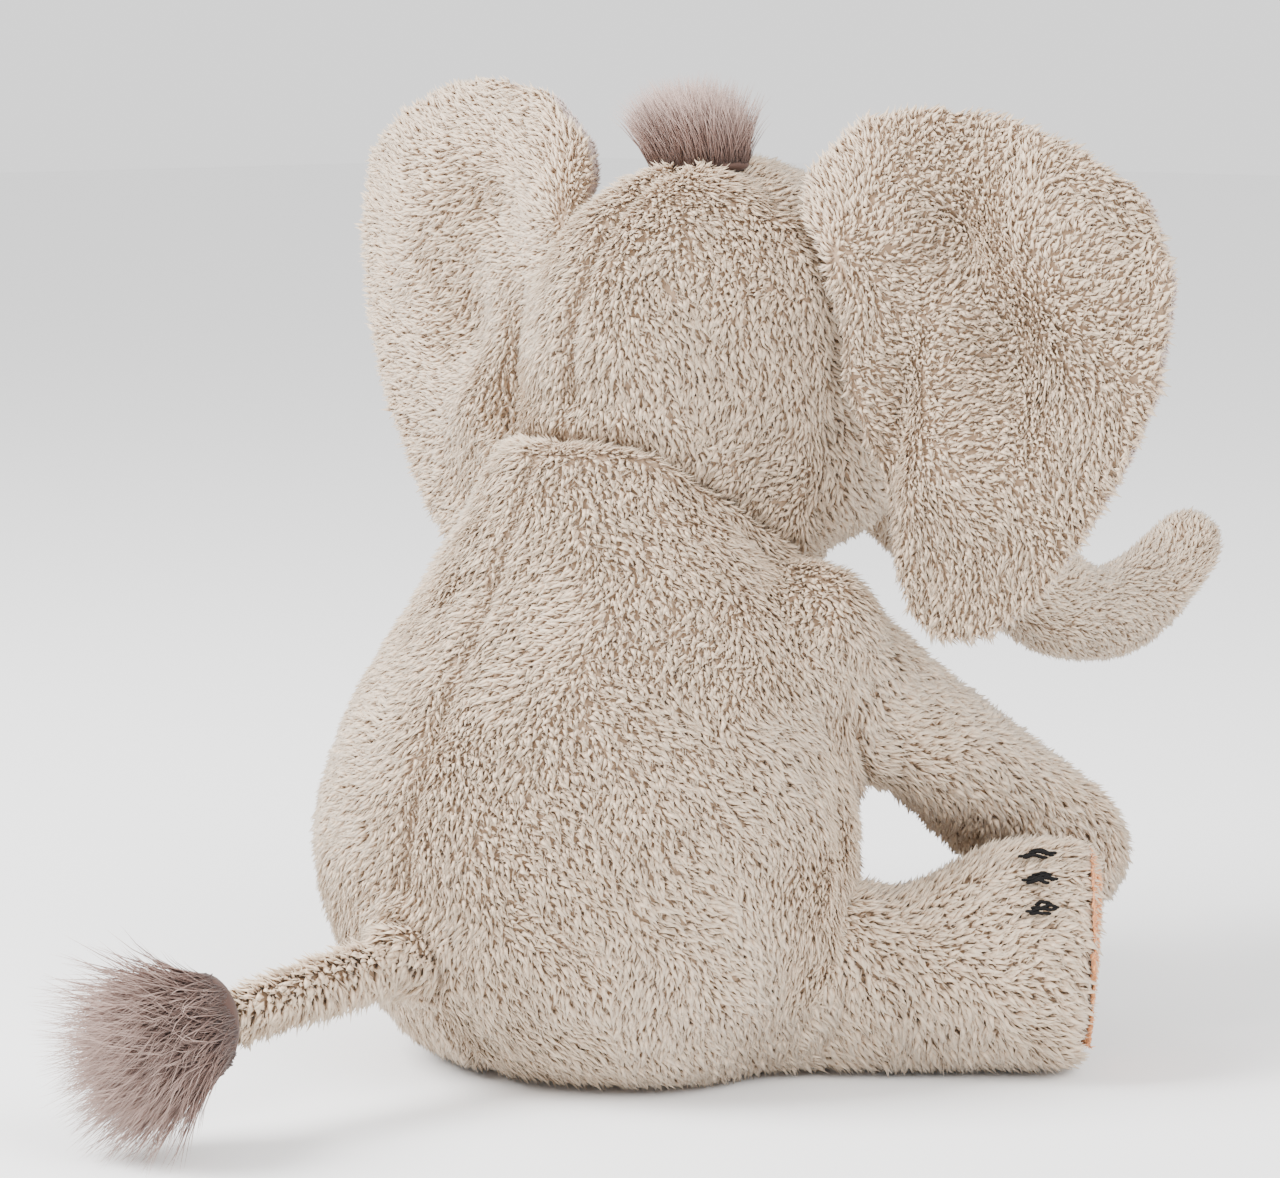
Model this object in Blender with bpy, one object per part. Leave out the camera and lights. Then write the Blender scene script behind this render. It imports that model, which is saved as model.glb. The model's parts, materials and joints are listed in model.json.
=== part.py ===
"""Seated plush elephant: pile fabric panels sewn over stuffing.

Metres, +Z up. The elephant faces -Y, so its right side is at -X. The origin is on
the flat seat, at the surface that the toy rests on. The head, ears, trunk, arms, legs
and tail are bodies of their own. Each has its origin on its joint's axis and flexes
in a hollow that is cut from its neighbour with a named clearance.
"""

import math

import bmesh
import bpy
from mathutils import Matrix, Vector

# Fits
SEAM_GAP = 0.0003  # between two panels that are sewn edge to edge
JOINT_GAP = 0.0008  # between a limb and the hollow that it flexes in
ROOT_OPENING = 0.30  # a limb's skin is open further than this share of its radius behind its pivot
SLIVER = 0.0002  # edges of a clearance hull shorter than this are closed up
SKIN = 0.004  # pile fabric: the backing and its pile pressed flat

# Torso
TORSO_WIDTH = 0.150
TORSO_DEPTH = 0.130
TORSO_HEIGHT = 0.158
SEAT_RISE = 0.0075  # height of the seam around the seat
PELLET_HEIGHT = 0.030  # top of the weighted bag in the bottom
SIDE_SEAM_Y = -0.022
# Height, half width, half depth and lean forward, as shares of the torso's own
TORSO_PROFILE = (
    (0.000, 0.52, 0.46, 0.14),
    (0.038, 0.70, 0.68, 0.07),
    (0.160, 0.90, 0.91, 0.02),
    (0.350, 1.00, 1.00, 0.00),
    (0.540, 0.92, 0.92, 0.06),
    (0.730, 0.76, 0.77, 0.19),
    (0.885, 0.51, 0.53, 0.14),
    (1.000, 0.33, 0.34, 0.05),
)

# Head
HEAD_WIDTH = 0.092
HEAD_LENGTH = 0.114
HEAD_HEIGHT = 0.100
HEAD_RISE = 0.019  # the head's centre over the torso's top
HEAD_FORWARD = 0.048  # the head's centre ahead of the origin
NECK_FORWARD = 0.044  # the turning axis ahead of the origin
HOOD_SEAM = 0.006  # the ear-to-ear seam behind the head's centre
HEAD_TURN = 12.0
JOWL = 0.09  # how much fuller the head is at its lowest point
CHEEKS = 1.60  # how much fuller again it is low down on its sides, towards the front
TUFT_WIDTH = 0.036
TUFT_DEPTH = 0.017
TUFT_HEIGHT = 0.018
TUFT_FOOT = 0.97  # share of the head's half height at which the tuft's foot lies

# Eyes
EYE_RADIUS = 0.0052
EYE_DOME = 0.0036
EYE_SIDE = 42.0  # degrees from straight ahead
EYE_LIFT = 12.0  # degrees above the head's middle
STEM_RADIUS = 0.0016
STEM_LENGTH = 0.0075
EYE_HOLE_DEPTH = 0.012
WASHER_RADIUS = 0.0060
WASHER_THICKNESS = 0.0012

# Ears
EAR_WIDTH = 0.094
EAR_BACK = 0.0052
EAR_LINING = 0.0032
EAR_ROUNDING = 0.35  # rim rounding, as a share of a layer's thickness
LINING_INSET = 0.0015  # the lining is cut this much smaller than the fur behind it
EAR_SWEEP = 5.5  # degrees that the ear leans forward of straight out
EAR_HINGE = 0.002  # hinge line outside the head's widest point
EAR_RAISE = {"left": 0.005, "right": -0.001}  # the ears are sewn on a little unevenly
EAR_FLAP = (-12.0, 20.0)
# Outline from the top of the root round to the root again. The first number is a
# share of the ear's width, out from the head's side; the second is the height over
# the head's centre in metres.
EAR_OUTLINE = (
    (-0.10, 0.036),
    (-0.08, 0.046),
    (0.09, 0.059),
    (0.31, 0.062),
    (0.53, 0.060),
    (0.74, 0.053),
    (0.93, 0.042),
    (1.00, 0.022),
    (0.96, -0.005),
    (0.86, -0.025),
    (0.74, -0.042),
    (0.62, -0.056),
    (0.49, -0.065),
    (0.34, -0.067),
    (0.24, -0.059),
    (0.18, -0.044),
    (0.13, -0.026),
    (0.05, -0.006),
    (0.03, 0.008),
    (-0.04, 0.026),
)

# Trunk: forward and up from the head's centre, and radius
TRUNK_RADIUS = 0.023
TRUNK_LIFT = (-10.0, 14.0)
TRUNK_PATH = (
    (0.047, -0.014, 1.00),
    (0.082, -0.045, 0.87),
    (0.113, -0.064, 0.79),
    (0.137, -0.079, 0.72),
    (0.158, -0.083, 0.66),
    (0.178, -0.078, 0.61),
    (0.196, -0.067, 0.55),
)
NECK_OF_TRUNK = 2  # stations that lie in the face's hollow

# Arms
ARM_LENGTH = 0.101
ARM_RADIUS = 0.019
PAW_RADIUS = 0.0205
ARM_PITCH = 36.5  # degrees below level
ARM_YAW = 11.0  # degrees outward of straight ahead
ARM_SWING = (0.0, 14.0)
PALM_RADIUS = 0.0125
PALM_PLACE = 0.93  # share of the arm's length
SHOULDER = (0.61, 0.49, 0.68)  # shares of half width, half depth and height

# Legs
LEG_LENGTH = 0.078
LEG_RADIUS = 0.0235
FOOT_WIDTH = 0.053
FOOT_HEIGHT = 0.059
FOOT_EDGE = 0.009  # rounding where the sole meets the foot
SOLE_SHARE = 0.45  # share of that rounding which belongs to the sole
LEG_SPLAY = 47.0  # degrees outward of straight ahead
LEG_SWING = (-2.0, 10.0)
HIP = (0.56, 0.43)  # shares of half width and half depth
FLOOR_GAP = 0.0004  # so that the flat seat carries the toy
STITCH_RADIUS = 0.0007
FOOT_ROLL = 41.0  # degrees that the toes roll back from the top of the foot
STITCH_ANGLES = (-18.0, 0.0, 18.0)

# Tail
TAIL_LENGTH = 0.072
TAIL_RADIUS = 0.0085
TAIL_SKIN = 0.0022
TAIL_HEIGHT = 0.035
TAIL_SINK = 0.005  # the root's centre inside the torso's back
TAIL_DROOP = 5.5  # degrees below level
TAIL_SWING = 22.0
TAIL_TUFT_LENGTH = 0.046
TAIL_TUFT_RADIUS = 0.0165
TAIL_TUFT_EDGE = 0.003  # rounding of the tuft's two ends
TAIL_TUFT_ROWS = ((0.0, 0.45), (0.25, 0.80), (0.55, 1.0), (0.8, 0.95), (0.95, 0.6))

CAP_ANGLES = (34.0, 68.0)
TORSO_SEGMENTS = 24
LIMB_SEGMENTS = 12
ROUND_SEGMENTS = 18
FORE_AFT, SIDEWAYS, UPRIGHT = Vector((0, -1, 0)), Vector((1, 0, 0)), Vector((0, 0, 1))
SIDES = (("left", 1), ("right", -1))

FUR = (0.58, 0.50, 0.43)
TUFT = (0.32, 0.24, 0.21)
LINING = (0.62, 0.50, 0.46)
PAD = (0.80, 0.50, 0.33)
THREAD = (0.03, 0.025, 0.025)
STUFFING = (0.85, 0.85, 0.83)
BAG = (0.55, 0.53, 0.50)
GLOSS_BLACK = (0.01, 0.01, 0.012)
WASHER_GREY = (0.75, 0.75, 0.73)


def clear_scene():
    for item in list(bpy.data.objects):
        bpy.data.objects.remove(item, do_unlink=True)


def new_collection(name):
    collection = bpy.data.collections.new(name)
    bpy.context.scene.collection.children.link(collection)
    return collection


clear_scene()
elephant = new_collection("plush_elephant")
cutters = new_collection("cutters")


def principled(name, colour, roughness):
    material = bpy.data.materials.new(name)
    material.use_nodes = True
    shader = material.node_tree.nodes["Principled BSDF"]
    shader.inputs["Base Color"].default_value = (*colour, 1.0)
    shader.inputs["Roughness"].default_value = roughness
    shader.inputs["Metallic"].default_value = 0.0
    return material


def joint(name, position):
    """An empty on a joint's axis, which the moving pieces hang from."""
    empty = bpy.data.objects.new(name, None)
    elephant.objects.link(empty)
    empty.location = position
    return empty


def piece(name, mesh, colour, roughness=0.9, parent=None, matrix=Matrix()):
    """One sub-part of the toy, placed by its matrix under its joint's empty."""
    obj = bpy.data.objects.new(name, mesh)
    elephant.objects.link(obj)
    obj.parent = parent
    obj.matrix_local = matrix
    obj.data.materials.clear()
    obj.data.materials.append(principled(name, colour, roughness))
    obj.data.shade_smooth()
    obj.data.set_sharp_from_angle(angle=math.radians(35))
    return obj


def cutter(name, mesh, matrix=Matrix()):
    obj = bpy.data.objects.new(name, mesh)
    cutters.objects.link(obj)
    obj.matrix_world = matrix
    obj.hide_render = True
    obj.display_type = "WIRE"
    return obj


def cut(target, tool, operation="DIFFERENCE"):
    modifier = target.modifiers.new(tool.name, "BOOLEAN")
    modifier.operation = operation
    modifier.object = tool
    modifier.solver = "EXACT"


def keep(target, tool):
    cut(target, tool, "INTERSECT")


def mesh_of(name, bm):
    bmesh.ops.recalc_face_normals(bm, faces=bm.faces)
    mesh = bpy.data.meshes.new(name)
    bm.to_mesh(mesh)
    bm.free()
    return mesh


def loft(name, rings):
    """Join rings of equal length into one closed body."""
    bm = bmesh.new()
    loops = [[bm.verts.new(point) for point in ring] for ring in rings]
    for lower, upper in zip(loops, loops[1:]):
        for i in range(len(lower)):
            j = (i + 1) % len(lower)
            bm.faces.new((lower[i], lower[j], upper[j], upper[i]))
    bm.faces.new(loops[0])
    bm.faces.new(loops[-1])
    return mesh_of(name, bm)


def in_triangles(mesh):
    """The mesh with flat faces only, so that its inner and outer copies bend alike."""
    bm = bmesh.new()
    bm.from_mesh(mesh)
    bmesh.ops.triangulate(bm, faces=bm.faces)
    return mesh_of(mesh.name, bm)


def grown(name, mesh, distance):
    """A copy of a closed mesh with its surface moved out, or in when negative."""
    bm = bmesh.new()
    bm.from_mesh(mesh)
    bm.normal_update()
    moves = [vertex.normal * vertex.calc_shell_factor() * distance for vertex in bm.verts]
    for vertex, move in zip(bm.verts, moves):
        vertex.co += move
    return mesh_of(name, bm)


def block(name, low, high, matrix=Matrix()):
    """A cutting box between two corners."""
    bm = bmesh.new()
    size = Vector(high) - Vector(low)
    middle = (Vector(high) + Vector(low)) / 2
    place = Matrix.Translation(middle) @ Matrix.Diagonal((*size, 1.0))
    bmesh.ops.create_cube(bm, size=1.0, matrix=place)
    return cutter(name, mesh_of(name, bm), matrix)


def rod(name, radius, start, end, matrix=Matrix()):
    """A cutting cylinder between two points."""
    bm = bmesh.new()
    along = Vector(end) - Vector(start)
    turn = along.to_track_quat("Z", "Y").to_matrix().to_4x4()
    place = Matrix.Translation((Vector(start) + Vector(end)) / 2) @ turn
    bmesh.ops.create_cone(
        bm, cap_ends=True, segments=20, radius1=radius, radius2=radius, depth=along.length, matrix=place
    )
    return cutter(name, mesh_of(name, bm), matrix)


def ball(name, halves, centre, segments=20, rings=12):
    """A closed ellipsoid with the given half sizes."""
    bm = bmesh.new()
    place = Matrix.Translation(centre) @ Matrix.Diagonal((*halves, 1.0))
    bmesh.ops.create_uvsphere(bm, u_segments=segments, v_segments=rings, radius=1.0, matrix=place)
    return mesh_of(name, bm)


def smooth_rows(rows, steps):
    """Rows of numbers with steps - 1 more between each two, on a smooth curve."""
    padded = [rows[0], *rows, rows[-1]]
    result = []
    for a, b, c, d in zip(padded, padded[1:], padded[2:], padded[3:]):
        for k in range(steps):
            t = k / steps
            row = []
            for p, q, r, s in zip(a, b, c, d):
                linear, square, cubic = r - p, 2 * p - 5 * q + 4 * r - s, 3 * q - p - 3 * r + s
                row.append(0.5 * (2 * q + linear * t + square * t**2 + cubic * t**3))
            result.append(tuple(row))
    return [*result, tuple(rows[-1])]


def ellipse(centre, side, up, half_side, half_up, segments):
    turns = [2 * math.pi * i / segments for i in range(segments)]
    return [centre + side * half_side * math.cos(a) + up * half_up * math.sin(a) for a in turns]


def tube_rings(path, root_edge, end_edge):
    """Sections across a path of (point, half width, half height), with rounded ends.

    Each end edge is the rounding's radius: the full radius makes a domed end, and
    less leaves a flat face.
    """
    points = [Vector(row[0]) for row in path]
    rings = []
    for i, (point, (_, half_side, half_up)) in enumerate(zip(points, path)):
        ahead = (points[min(i + 1, len(points) - 1)] - points[max(i - 1, 0)]).normalized()
        side = ahead.cross(UPRIGHT).normalized()
        up = side.cross(ahead)
        edge, outward = (root_edge, -ahead) if i == 0 else (end_edge, ahead)
        caps = []
        for angle in map(math.radians, CAP_ANGLES):
            inset = edge * (1 - math.cos(angle))
            centre = point + outward * edge * math.sin(angle)
            caps.append(ellipse(centre, side, up, half_side - inset, half_up - inset, LIMB_SEGMENTS))
        body = ellipse(point, side, up, half_side, half_up, LIMB_SEGMENTS)
        if i == 0:
            rings += [*reversed(caps), body]
        elif i == len(points) - 1:
            rings += [body, *caps]
        else:
            rings.append(body)
    return rings


def sweep_cutter(name, mesh, axis, angles, matrix):
    """The hull of a limb's root turned through its joint's range, plus the clearance.

    The mesh is in the limb's own frame, whose origin is on the joint's axis.
    """
    bm = bmesh.new()
    place = Matrix.Translation(matrix.translation)
    turned = matrix.to_3x3().to_4x4()
    for angle in angles:
        turn = Matrix.Rotation(math.radians(angle), 4, axis)
        for vertex in grown(name, mesh, JOINT_GAP).vertices:
            bm.verts.new(turn @ turned @ vertex.co)
    result = bmesh.ops.convex_hull(bm, input=bm.verts)
    loose = {v for v in result["geom_interior"] if isinstance(v, bmesh.types.BMVert)}
    bmesh.ops.delete(bm, geom=list(loose), context="VERTS")
    bmesh.ops.dissolve_degenerate(bm, dist=SLIVER, edges=bm.edges)
    return cutter(name, mesh_of(name, bm), place)


# ---------------------------------------------------------------- head and torso forms
head_centre = Vector((0, -HEAD_FORWARD, TORSO_HEIGHT + HEAD_RISE))
neck = joint("neck_joint", (0, -NECK_FORWARD, TORSO_HEIGHT))
head_halves = Vector((HEAD_WIDTH, HEAD_LENGTH, HEAD_HEIGHT)) / 2


def torso_rings():
    rings = []
    for rise, width, depth, lean in smooth_rows(TORSO_PROFILE, 2):
        centre = Vector((0, -lean * TORSO_DEPTH / 2, rise * TORSO_HEIGHT))
        half_x, half_y = width * TORSO_WIDTH / 2, depth * TORSO_DEPTH / 2
        rings.append(ellipse(centre, SIDEWAYS, -FORE_AFT, half_x, half_y, TORSO_SEGMENTS))
    return rings


torso_form = loft("torso_form", torso_rings())
torso_hollow = cutter("torso_hollow", grown("torso_hollow", torso_form, -SKIN))
torso_fill = grown("torso_fill", torso_form, -SKIN - SEAM_GAP)

head_form = in_triangles(ball("head_form", head_halves, head_centre))
for vertex in head_form.vertices:
    offset = vertex.co - head_centre
    low, side = max(0.0, -offset.z / head_halves.z), offset.x / head_halves.x
    front = (1 - offset.y / head_halves.y) / 2
    vertex.co = head_centre + offset * (1 + JOWL * low + CHEEKS * low**2 * side**2 * front)
head_hollow = cutter("head_hollow", grown("head_hollow", head_form, -SKIN))
head_fill = grown("head_fill", head_form, -SKIN - SEAM_GAP)
head_shape = cutter("head_shape", grown("head_shape", head_form, SEAM_GAP))

in_neck = Matrix.Translation(-neck.location)
head_in_neck = head_form.copy()
head_in_neck.transform(in_neck)
neck_turns = (-HEAD_TURN, 0, HEAD_TURN)
neck_hollow = sweep_cutter("neck_hollow", head_in_neck, "Z", neck_turns, in_neck.inverted())


# ---------------------------------------------------------------- limb frames and forms
def arm_path():
    girths = smooth_rows(
        ((0.00, ARM_RADIUS), (0.35, 0.95 * ARM_RADIUS), (0.65, 0.98 * ARM_RADIUS), (1.00, PAW_RADIUS)), 2
    )
    return [(FORE_AFT * ARM_LENGTH * share, girth, girth) for share, girth in girths]


def leg_path():
    lift = FOOT_HEIGHT / 2 - LEG_RADIUS
    rows = smooth_rows(
        (
            (0.00, 0.0, LEG_RADIUS, LEG_RADIUS),
            (0.45, 0.0, LEG_RADIUS, LEG_RADIUS),
            (0.82, lift, FOOT_WIDTH / 2, FOOT_HEIGHT / 2),
            (1.00, lift, FOOT_WIDTH / 2, FOOT_HEIGHT / 2),
        ),
        2,
    )
    reach = LEG_LENGTH - FOOT_EDGE
    return [(FORE_AFT * reach * share + UPRIGHT * rise, width, height) for share, rise, width, height in rows]


def limb_matrix(position, yaw, pitch):
    turn = Matrix.Rotation(math.radians(yaw), 4, "Z") @ Matrix.Rotation(math.radians(pitch), 4, "X")
    return Matrix.Translation(position) @ turn


arm_form = loft("arm_form", tube_rings(arm_path(), ARM_RADIUS, PAW_RADIUS))
arm_root = loft("arm_root", tube_rings(arm_path()[:4], ARM_RADIUS, ARM_RADIUS * 0.5))
leg_form = loft("leg_form", tube_rings(leg_path(), LEG_RADIUS, FOOT_EDGE))
leg_root = loft("leg_root", tube_rings(leg_path()[:4], LEG_RADIUS, LEG_RADIUS * 0.2))

arm_sweeps, leg_sweeps, arm_frames, leg_frames = [], [], [], []
for side, sign in SIDES:
    shoulder = Vector(
        (sign * SHOULDER[0] * TORSO_WIDTH / 2, -SHOULDER[1] * TORSO_DEPTH / 2, SHOULDER[2] * TORSO_HEIGHT)
    )
    hip = Vector((sign * HIP[0] * TORSO_WIDTH / 2, -HIP[1] * TORSO_DEPTH / 2, LEG_RADIUS + FLOOR_GAP))
    arm_frames.append(limb_matrix(shoulder, sign * ARM_YAW, ARM_PITCH))
    leg_frames.append(limb_matrix(hip, sign * LEG_SPLAY, 0))
    arm_turns = [-angle for angle in (ARM_SWING[0], 0, ARM_SWING[1])]
    leg_turns = [sign * angle for angle in (LEG_SWING[0], 0, LEG_SWING[1])]
    arm_sweeps.append(sweep_cutter(f"arm_{side}_hollow", arm_root, "X", arm_turns, arm_frames[-1]))
    leg_sweeps.append(sweep_cutter(f"leg_{side}_hollow", leg_root, "Z", leg_turns, leg_frames[-1]))


def torso_back_at(height):
    """How far back the torso's surface is on its middle plane."""
    levels = [(ring[0].z, ring[TORSO_SEGMENTS // 4].y) for ring in torso_rings()]
    for (low, back_low), (high, back_high) in zip(levels, levels[1:]):
        if low <= height <= high:
            return back_low + (back_high - back_low) * (height - low) / (high - low)
    return levels[-1][1]


tail_root = Vector((0, torso_back_at(TAIL_HEIGHT) - TAIL_SINK, TAIL_HEIGHT))
tail_frame = limb_matrix(tail_root, 180, TAIL_DROOP)
tail_path = [
    (FORE_AFT * TAIL_LENGTH * share, TAIL_RADIUS * girth, TAIL_RADIUS * girth)
    for share, girth in ((0.0, 1.0), (0.3, 1.0), (0.7, 0.95), (1.0, 0.85))
]
tail_form = loft("tail_form", tube_rings(tail_path, TAIL_RADIUS, 0.85 * TAIL_RADIUS))
tail_stub = loft("tail_stub", tube_rings(tail_path[:2], TAIL_RADIUS, TAIL_RADIUS * 0.5))
tail_sweep = sweep_cutter("tail_hollow", tail_stub, "Z", (-TAIL_SWING, 0, TAIL_SWING), tail_frame)

# ---------------------------------------------------------------- torso
FAR = 0.6
half_seam = SEAM_GAP / 2
torso_regions = {
    "back_panel_left": ((half_seam, SIDE_SEAM_Y + half_seam, SEAT_RISE + half_seam), (FAR, FAR, FAR)),
    "back_panel_right": ((-FAR, SIDE_SEAM_Y + half_seam, SEAT_RISE + half_seam), (-half_seam, FAR, FAR)),
    "belly_panel": ((-FAR, -FAR, SEAT_RISE + half_seam), (FAR, SIDE_SEAM_Y - half_seam, FAR)),
    "seat_panel": ((-FAR, -FAR, -FAR), (FAR, FAR, SEAT_RISE - half_seam)),
}
for name, (low, high) in torso_regions.items():
    panel = piece(name, torso_form.copy(), FUR)
    cut(panel, torso_hollow)
    keep(panel, block(f"{name}_region", low, high))
    if name != "seat_panel":
        cut(panel, neck_hollow)
        for sweep in arm_sweeps:
            cut(panel, sweep)
    for sweep in leg_sweeps:
        cut(panel, sweep)
    if name.startswith("back"):
        cut(panel, tail_sweep)

stuffing = piece("body_stuffing", torso_fill.copy(), STUFFING, 1.0)
keep(stuffing, block("stuffing_region", (-FAR, -FAR, PELLET_HEIGHT + half_seam), (FAR, FAR, FAR)))
pellets = piece("pellet_bag", torso_fill.copy(), BAG, 0.8)
keep(pellets, block("pellet_region", (-FAR, -FAR, -FAR), (FAR, FAR, PELLET_HEIGHT - half_seam)))
for inner in (stuffing, pellets):
    for tool in (neck_hollow, *arm_sweeps, *leg_sweeps, tail_sweep):
        if inner is stuffing or tool not in (neck_hollow, *arm_sweeps):
            cut(inner, tool)

# ---------------------------------------------------------------- trunk
trunk_rows = smooth_rows([(ahead, rise, share) for ahead, rise, share in TRUNK_PATH], 2)
trunk_start = Vector((0, -TRUNK_PATH[0][0], TRUNK_PATH[0][1]))
trunk_path = [
    (Vector((0, -ahead, rise)) - trunk_start, TRUNK_RADIUS * share, TRUNK_RADIUS * share)
    for ahead, rise, share in trunk_rows
]
trunk_tip = TRUNK_RADIUS * TRUNK_PATH[-1][2]
trunk_place = Matrix.Translation(head_centre + trunk_start)
trunk_form = loft("trunk_form", tube_rings(trunk_path, TRUNK_RADIUS, trunk_tip))
trunk_root = loft(
    "trunk_root", tube_rings(trunk_path[: NECK_OF_TRUNK + 1], TRUNK_RADIUS, TRUNK_RADIUS * 0.3)
)
trunk_turns = [-angle for angle in (TRUNK_LIFT[0], 0, TRUNK_LIFT[1])]
trunk_sweep = sweep_cutter("trunk_hollow", trunk_root, "X", trunk_turns, trunk_place)

# ---------------------------------------------------------------- head
seam_y = head_centre.y + HOOD_SEAM
head_regions = {
    "hood_left": ((half_seam, seam_y + half_seam, 0), (FAR, FAR, FAR)),
    "hood_right": ((-FAR, seam_y + half_seam, 0), (-half_seam, FAR, FAR)),
    "face_left": ((half_seam, -FAR, 0), (FAR, seam_y - half_seam, FAR)),
    "face_right": ((-FAR, -FAR, 0), (-half_seam, seam_y - half_seam, FAR)),
}


def eye_frame(sign):
    """The eye's place on the head, with local +Z out of the skin."""
    side, lift = math.radians(EYE_SIDE), math.radians(EYE_LIFT)
    level = math.cos(lift)
    on_unit = Vector((sign * math.sin(side) * level, -math.cos(side) * level, math.sin(lift)))
    point = head_centre + on_unit * head_halves
    outward = Vector([share / half for share, half in zip(on_unit, head_halves)]).normalized()
    return Matrix.Translation(point) @ outward.to_track_quat("Z", "Y").to_matrix().to_4x4()


stem_holes, washer_pockets = [], []
for side, sign in SIDES:
    frame = eye_frame(sign)
    hole = rod(f"eye_{side}_hole", STEM_RADIUS + SEAM_GAP, (0, 0, -EYE_HOLE_DEPTH), (0, 0, SKIN), frame)
    pocket_low = (0, 0, -STEM_LENGTH - 2 * SEAM_GAP)
    pocket = rod(f"eye_{side}_pocket", WASHER_RADIUS + SEAM_GAP, pocket_low, (0, 0, SEAM_GAP), frame)
    stem_holes.append(hole)
    washer_pockets.append(pocket)

for name, (low, high) in head_regions.items():
    panel = piece(name, head_form.copy(), FUR, parent=neck, matrix=in_neck)
    cut(panel, head_hollow)
    keep(panel, block(f"{name}_region", low, high))
    if name.startswith("face"):
        cut(panel, trunk_sweep)
        cut(panel, stem_holes[0] if name == "face_left" else stem_holes[1])

head_stuffing = piece("head_stuffing", head_fill.copy(), STUFFING, 1.0, neck, in_neck)
for tool in (trunk_sweep, *washer_pockets):
    cut(head_stuffing, tool)


def turned(name, profile):
    """A closed turned shape about local Z, from (radius, height) points, top to bottom."""
    bm = bmesh.new()
    vertices = [bm.verts.new((radius, 0, height)) for radius, height in profile]
    for a, b in zip(vertices, vertices[1:]):
        bm.edges.new((a, b))
    line = bm.verts[:] + bm.edges[:]
    turn = 2 * math.pi
    bmesh.ops.spin(
        bm, geom=line, cent=(0, 0, 0), axis=(0, 0, 1), angle=turn, steps=ROUND_SEGMENTS, use_merge=True
    )
    bmesh.ops.remove_doubles(bm, verts=bm.verts, dist=0.00001)
    return mesh_of(name, bm)


dome = [
    (EYE_RADIUS * math.sin(a), SEAM_GAP * 2 + EYE_DOME * math.cos(a))
    for a in (math.radians(18 * k) for k in range(6))
]
eye_profile = [*dome, (STEM_RADIUS, SEAM_GAP * 2), (STEM_RADIUS, -STEM_LENGTH), (0, -STEM_LENGTH)]
# The washer is flat under a round skin, so it lies lower by the skin's curve over its width.
washer_top = -SKIN - 5 * SEAM_GAP - WASHER_RADIUS**2 / HEAD_WIDTH
washer_profile = [
    (STEM_RADIUS + SEAM_GAP, washer_top),
    (WASHER_RADIUS, washer_top),
    (WASHER_RADIUS, washer_top - WASHER_THICKNESS),
    (STEM_RADIUS + SEAM_GAP, washer_top - WASHER_THICKNESS),
    (STEM_RADIUS + SEAM_GAP, washer_top),
]
for side, sign in SIDES:
    place = in_neck @ eye_frame(sign)
    piece(f"eye_{side}", turned(f"eye_{side}", eye_profile), GLOSS_BLACK, 0.08, neck, place)
    piece(f"eye_washer_{side}", turned(f"eye_washer_{side}", washer_profile), WASHER_GREY, 0.4, neck, place)

tuft_foot = head_centre + Vector((0, HOOD_SEAM, head_halves.z * TUFT_FOOT))
tuft_halves = (TUFT_WIDTH / 2, TUFT_DEPTH / 2, TUFT_HEIGHT)
tuft = piece("crown_tuft", ball("crown_tuft", tuft_halves, tuft_foot, 16, 10), TUFT, 1.0, neck, in_neck)
cut(tuft, head_shape)

# ---------------------------------------------------------------- ears


def ear_plate(name, sign, front, back, inset):
    """A flat ear layer between two depths, its outline drawn in from the ear's by inset."""
    curve = bpy.data.curves.new(name, "CURVE")
    curve.dimensions = "2D"
    curve.fill_mode = "BOTH"
    curve.resolution_u = 1
    spline = curve.splines.new("BEZIER")
    spline.bezier_points.add(len(EAR_OUTLINE) - 1)
    spline.use_cyclic_u = True
    for point, (share, rise) in zip(spline.bezier_points, EAR_OUTLINE):
        point.co = (share * EAR_WIDTH - EAR_HINGE, rise, 0)
        point.handle_left_type = point.handle_right_type = "AUTO"
    rounding = (back - front) * EAR_ROUNDING
    curve.offset = -inset - rounding
    curve.bevel_depth = rounding
    curve.bevel_resolution = 0
    curve.extrude = (back - front) / 2 - rounding
    holder = bpy.data.objects.new(name, curve)
    elephant.objects.link(holder)
    bpy.context.view_layer.update()
    mesh = bpy.data.meshes.new_from_object(holder.evaluated_get(bpy.context.evaluated_depsgraph_get()))
    bpy.data.objects.remove(holder)
    bm = bmesh.new()
    bm.from_mesh(mesh)
    bmesh.ops.remove_doubles(bm, verts=bm.verts, dist=0.00002)
    upright = Matrix.Rotation(math.radians(90), 4, "X")
    shift = Matrix.Translation((0, (front + back) / 2, 0))
    bm.transform(Matrix.Diagonal((sign, 1, 1, 1)) @ shift @ upright)
    return mesh_of(name, bm)


for side, sign in SIDES:
    hinge_place = Vector((sign * (head_halves.x + EAR_HINGE), seam_y, head_centre.z + EAR_RAISE[side]))
    hinge = joint(f"ear_{side}_joint", hinge_place)
    hinge.parent = neck
    hinge.location -= neck.location
    sweep_turn = Matrix.Rotation(math.radians(-sign * EAR_SWEEP), 4, "Z")
    fur_mesh = ear_plate(f"ear_{side}_back", sign, 0, EAR_BACK, 0)
    lining_mesh = ear_plate(f"ear_{side}_lining", sign, -SEAM_GAP - EAR_LINING, -SEAM_GAP, LINING_INSET)
    piece(f"ear_{side}_back", fur_mesh, FUR, 0.9, hinge, sweep_turn)
    piece(f"ear_{side}_lining", lining_mesh, LINING, 0.7, hinge, sweep_turn)

# ---------------------------------------------------------------- sewn limbs


def limb_shell(name, form, hollow, region, colour, parent, matrix):
    """Part of a limb's skin: the form less its hollow, inside the region."""
    shell = piece(name, form.copy(), colour, 0.9, parent, matrix)
    cut(shell, hollow)
    keep(shell, region)
    return shell


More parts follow.
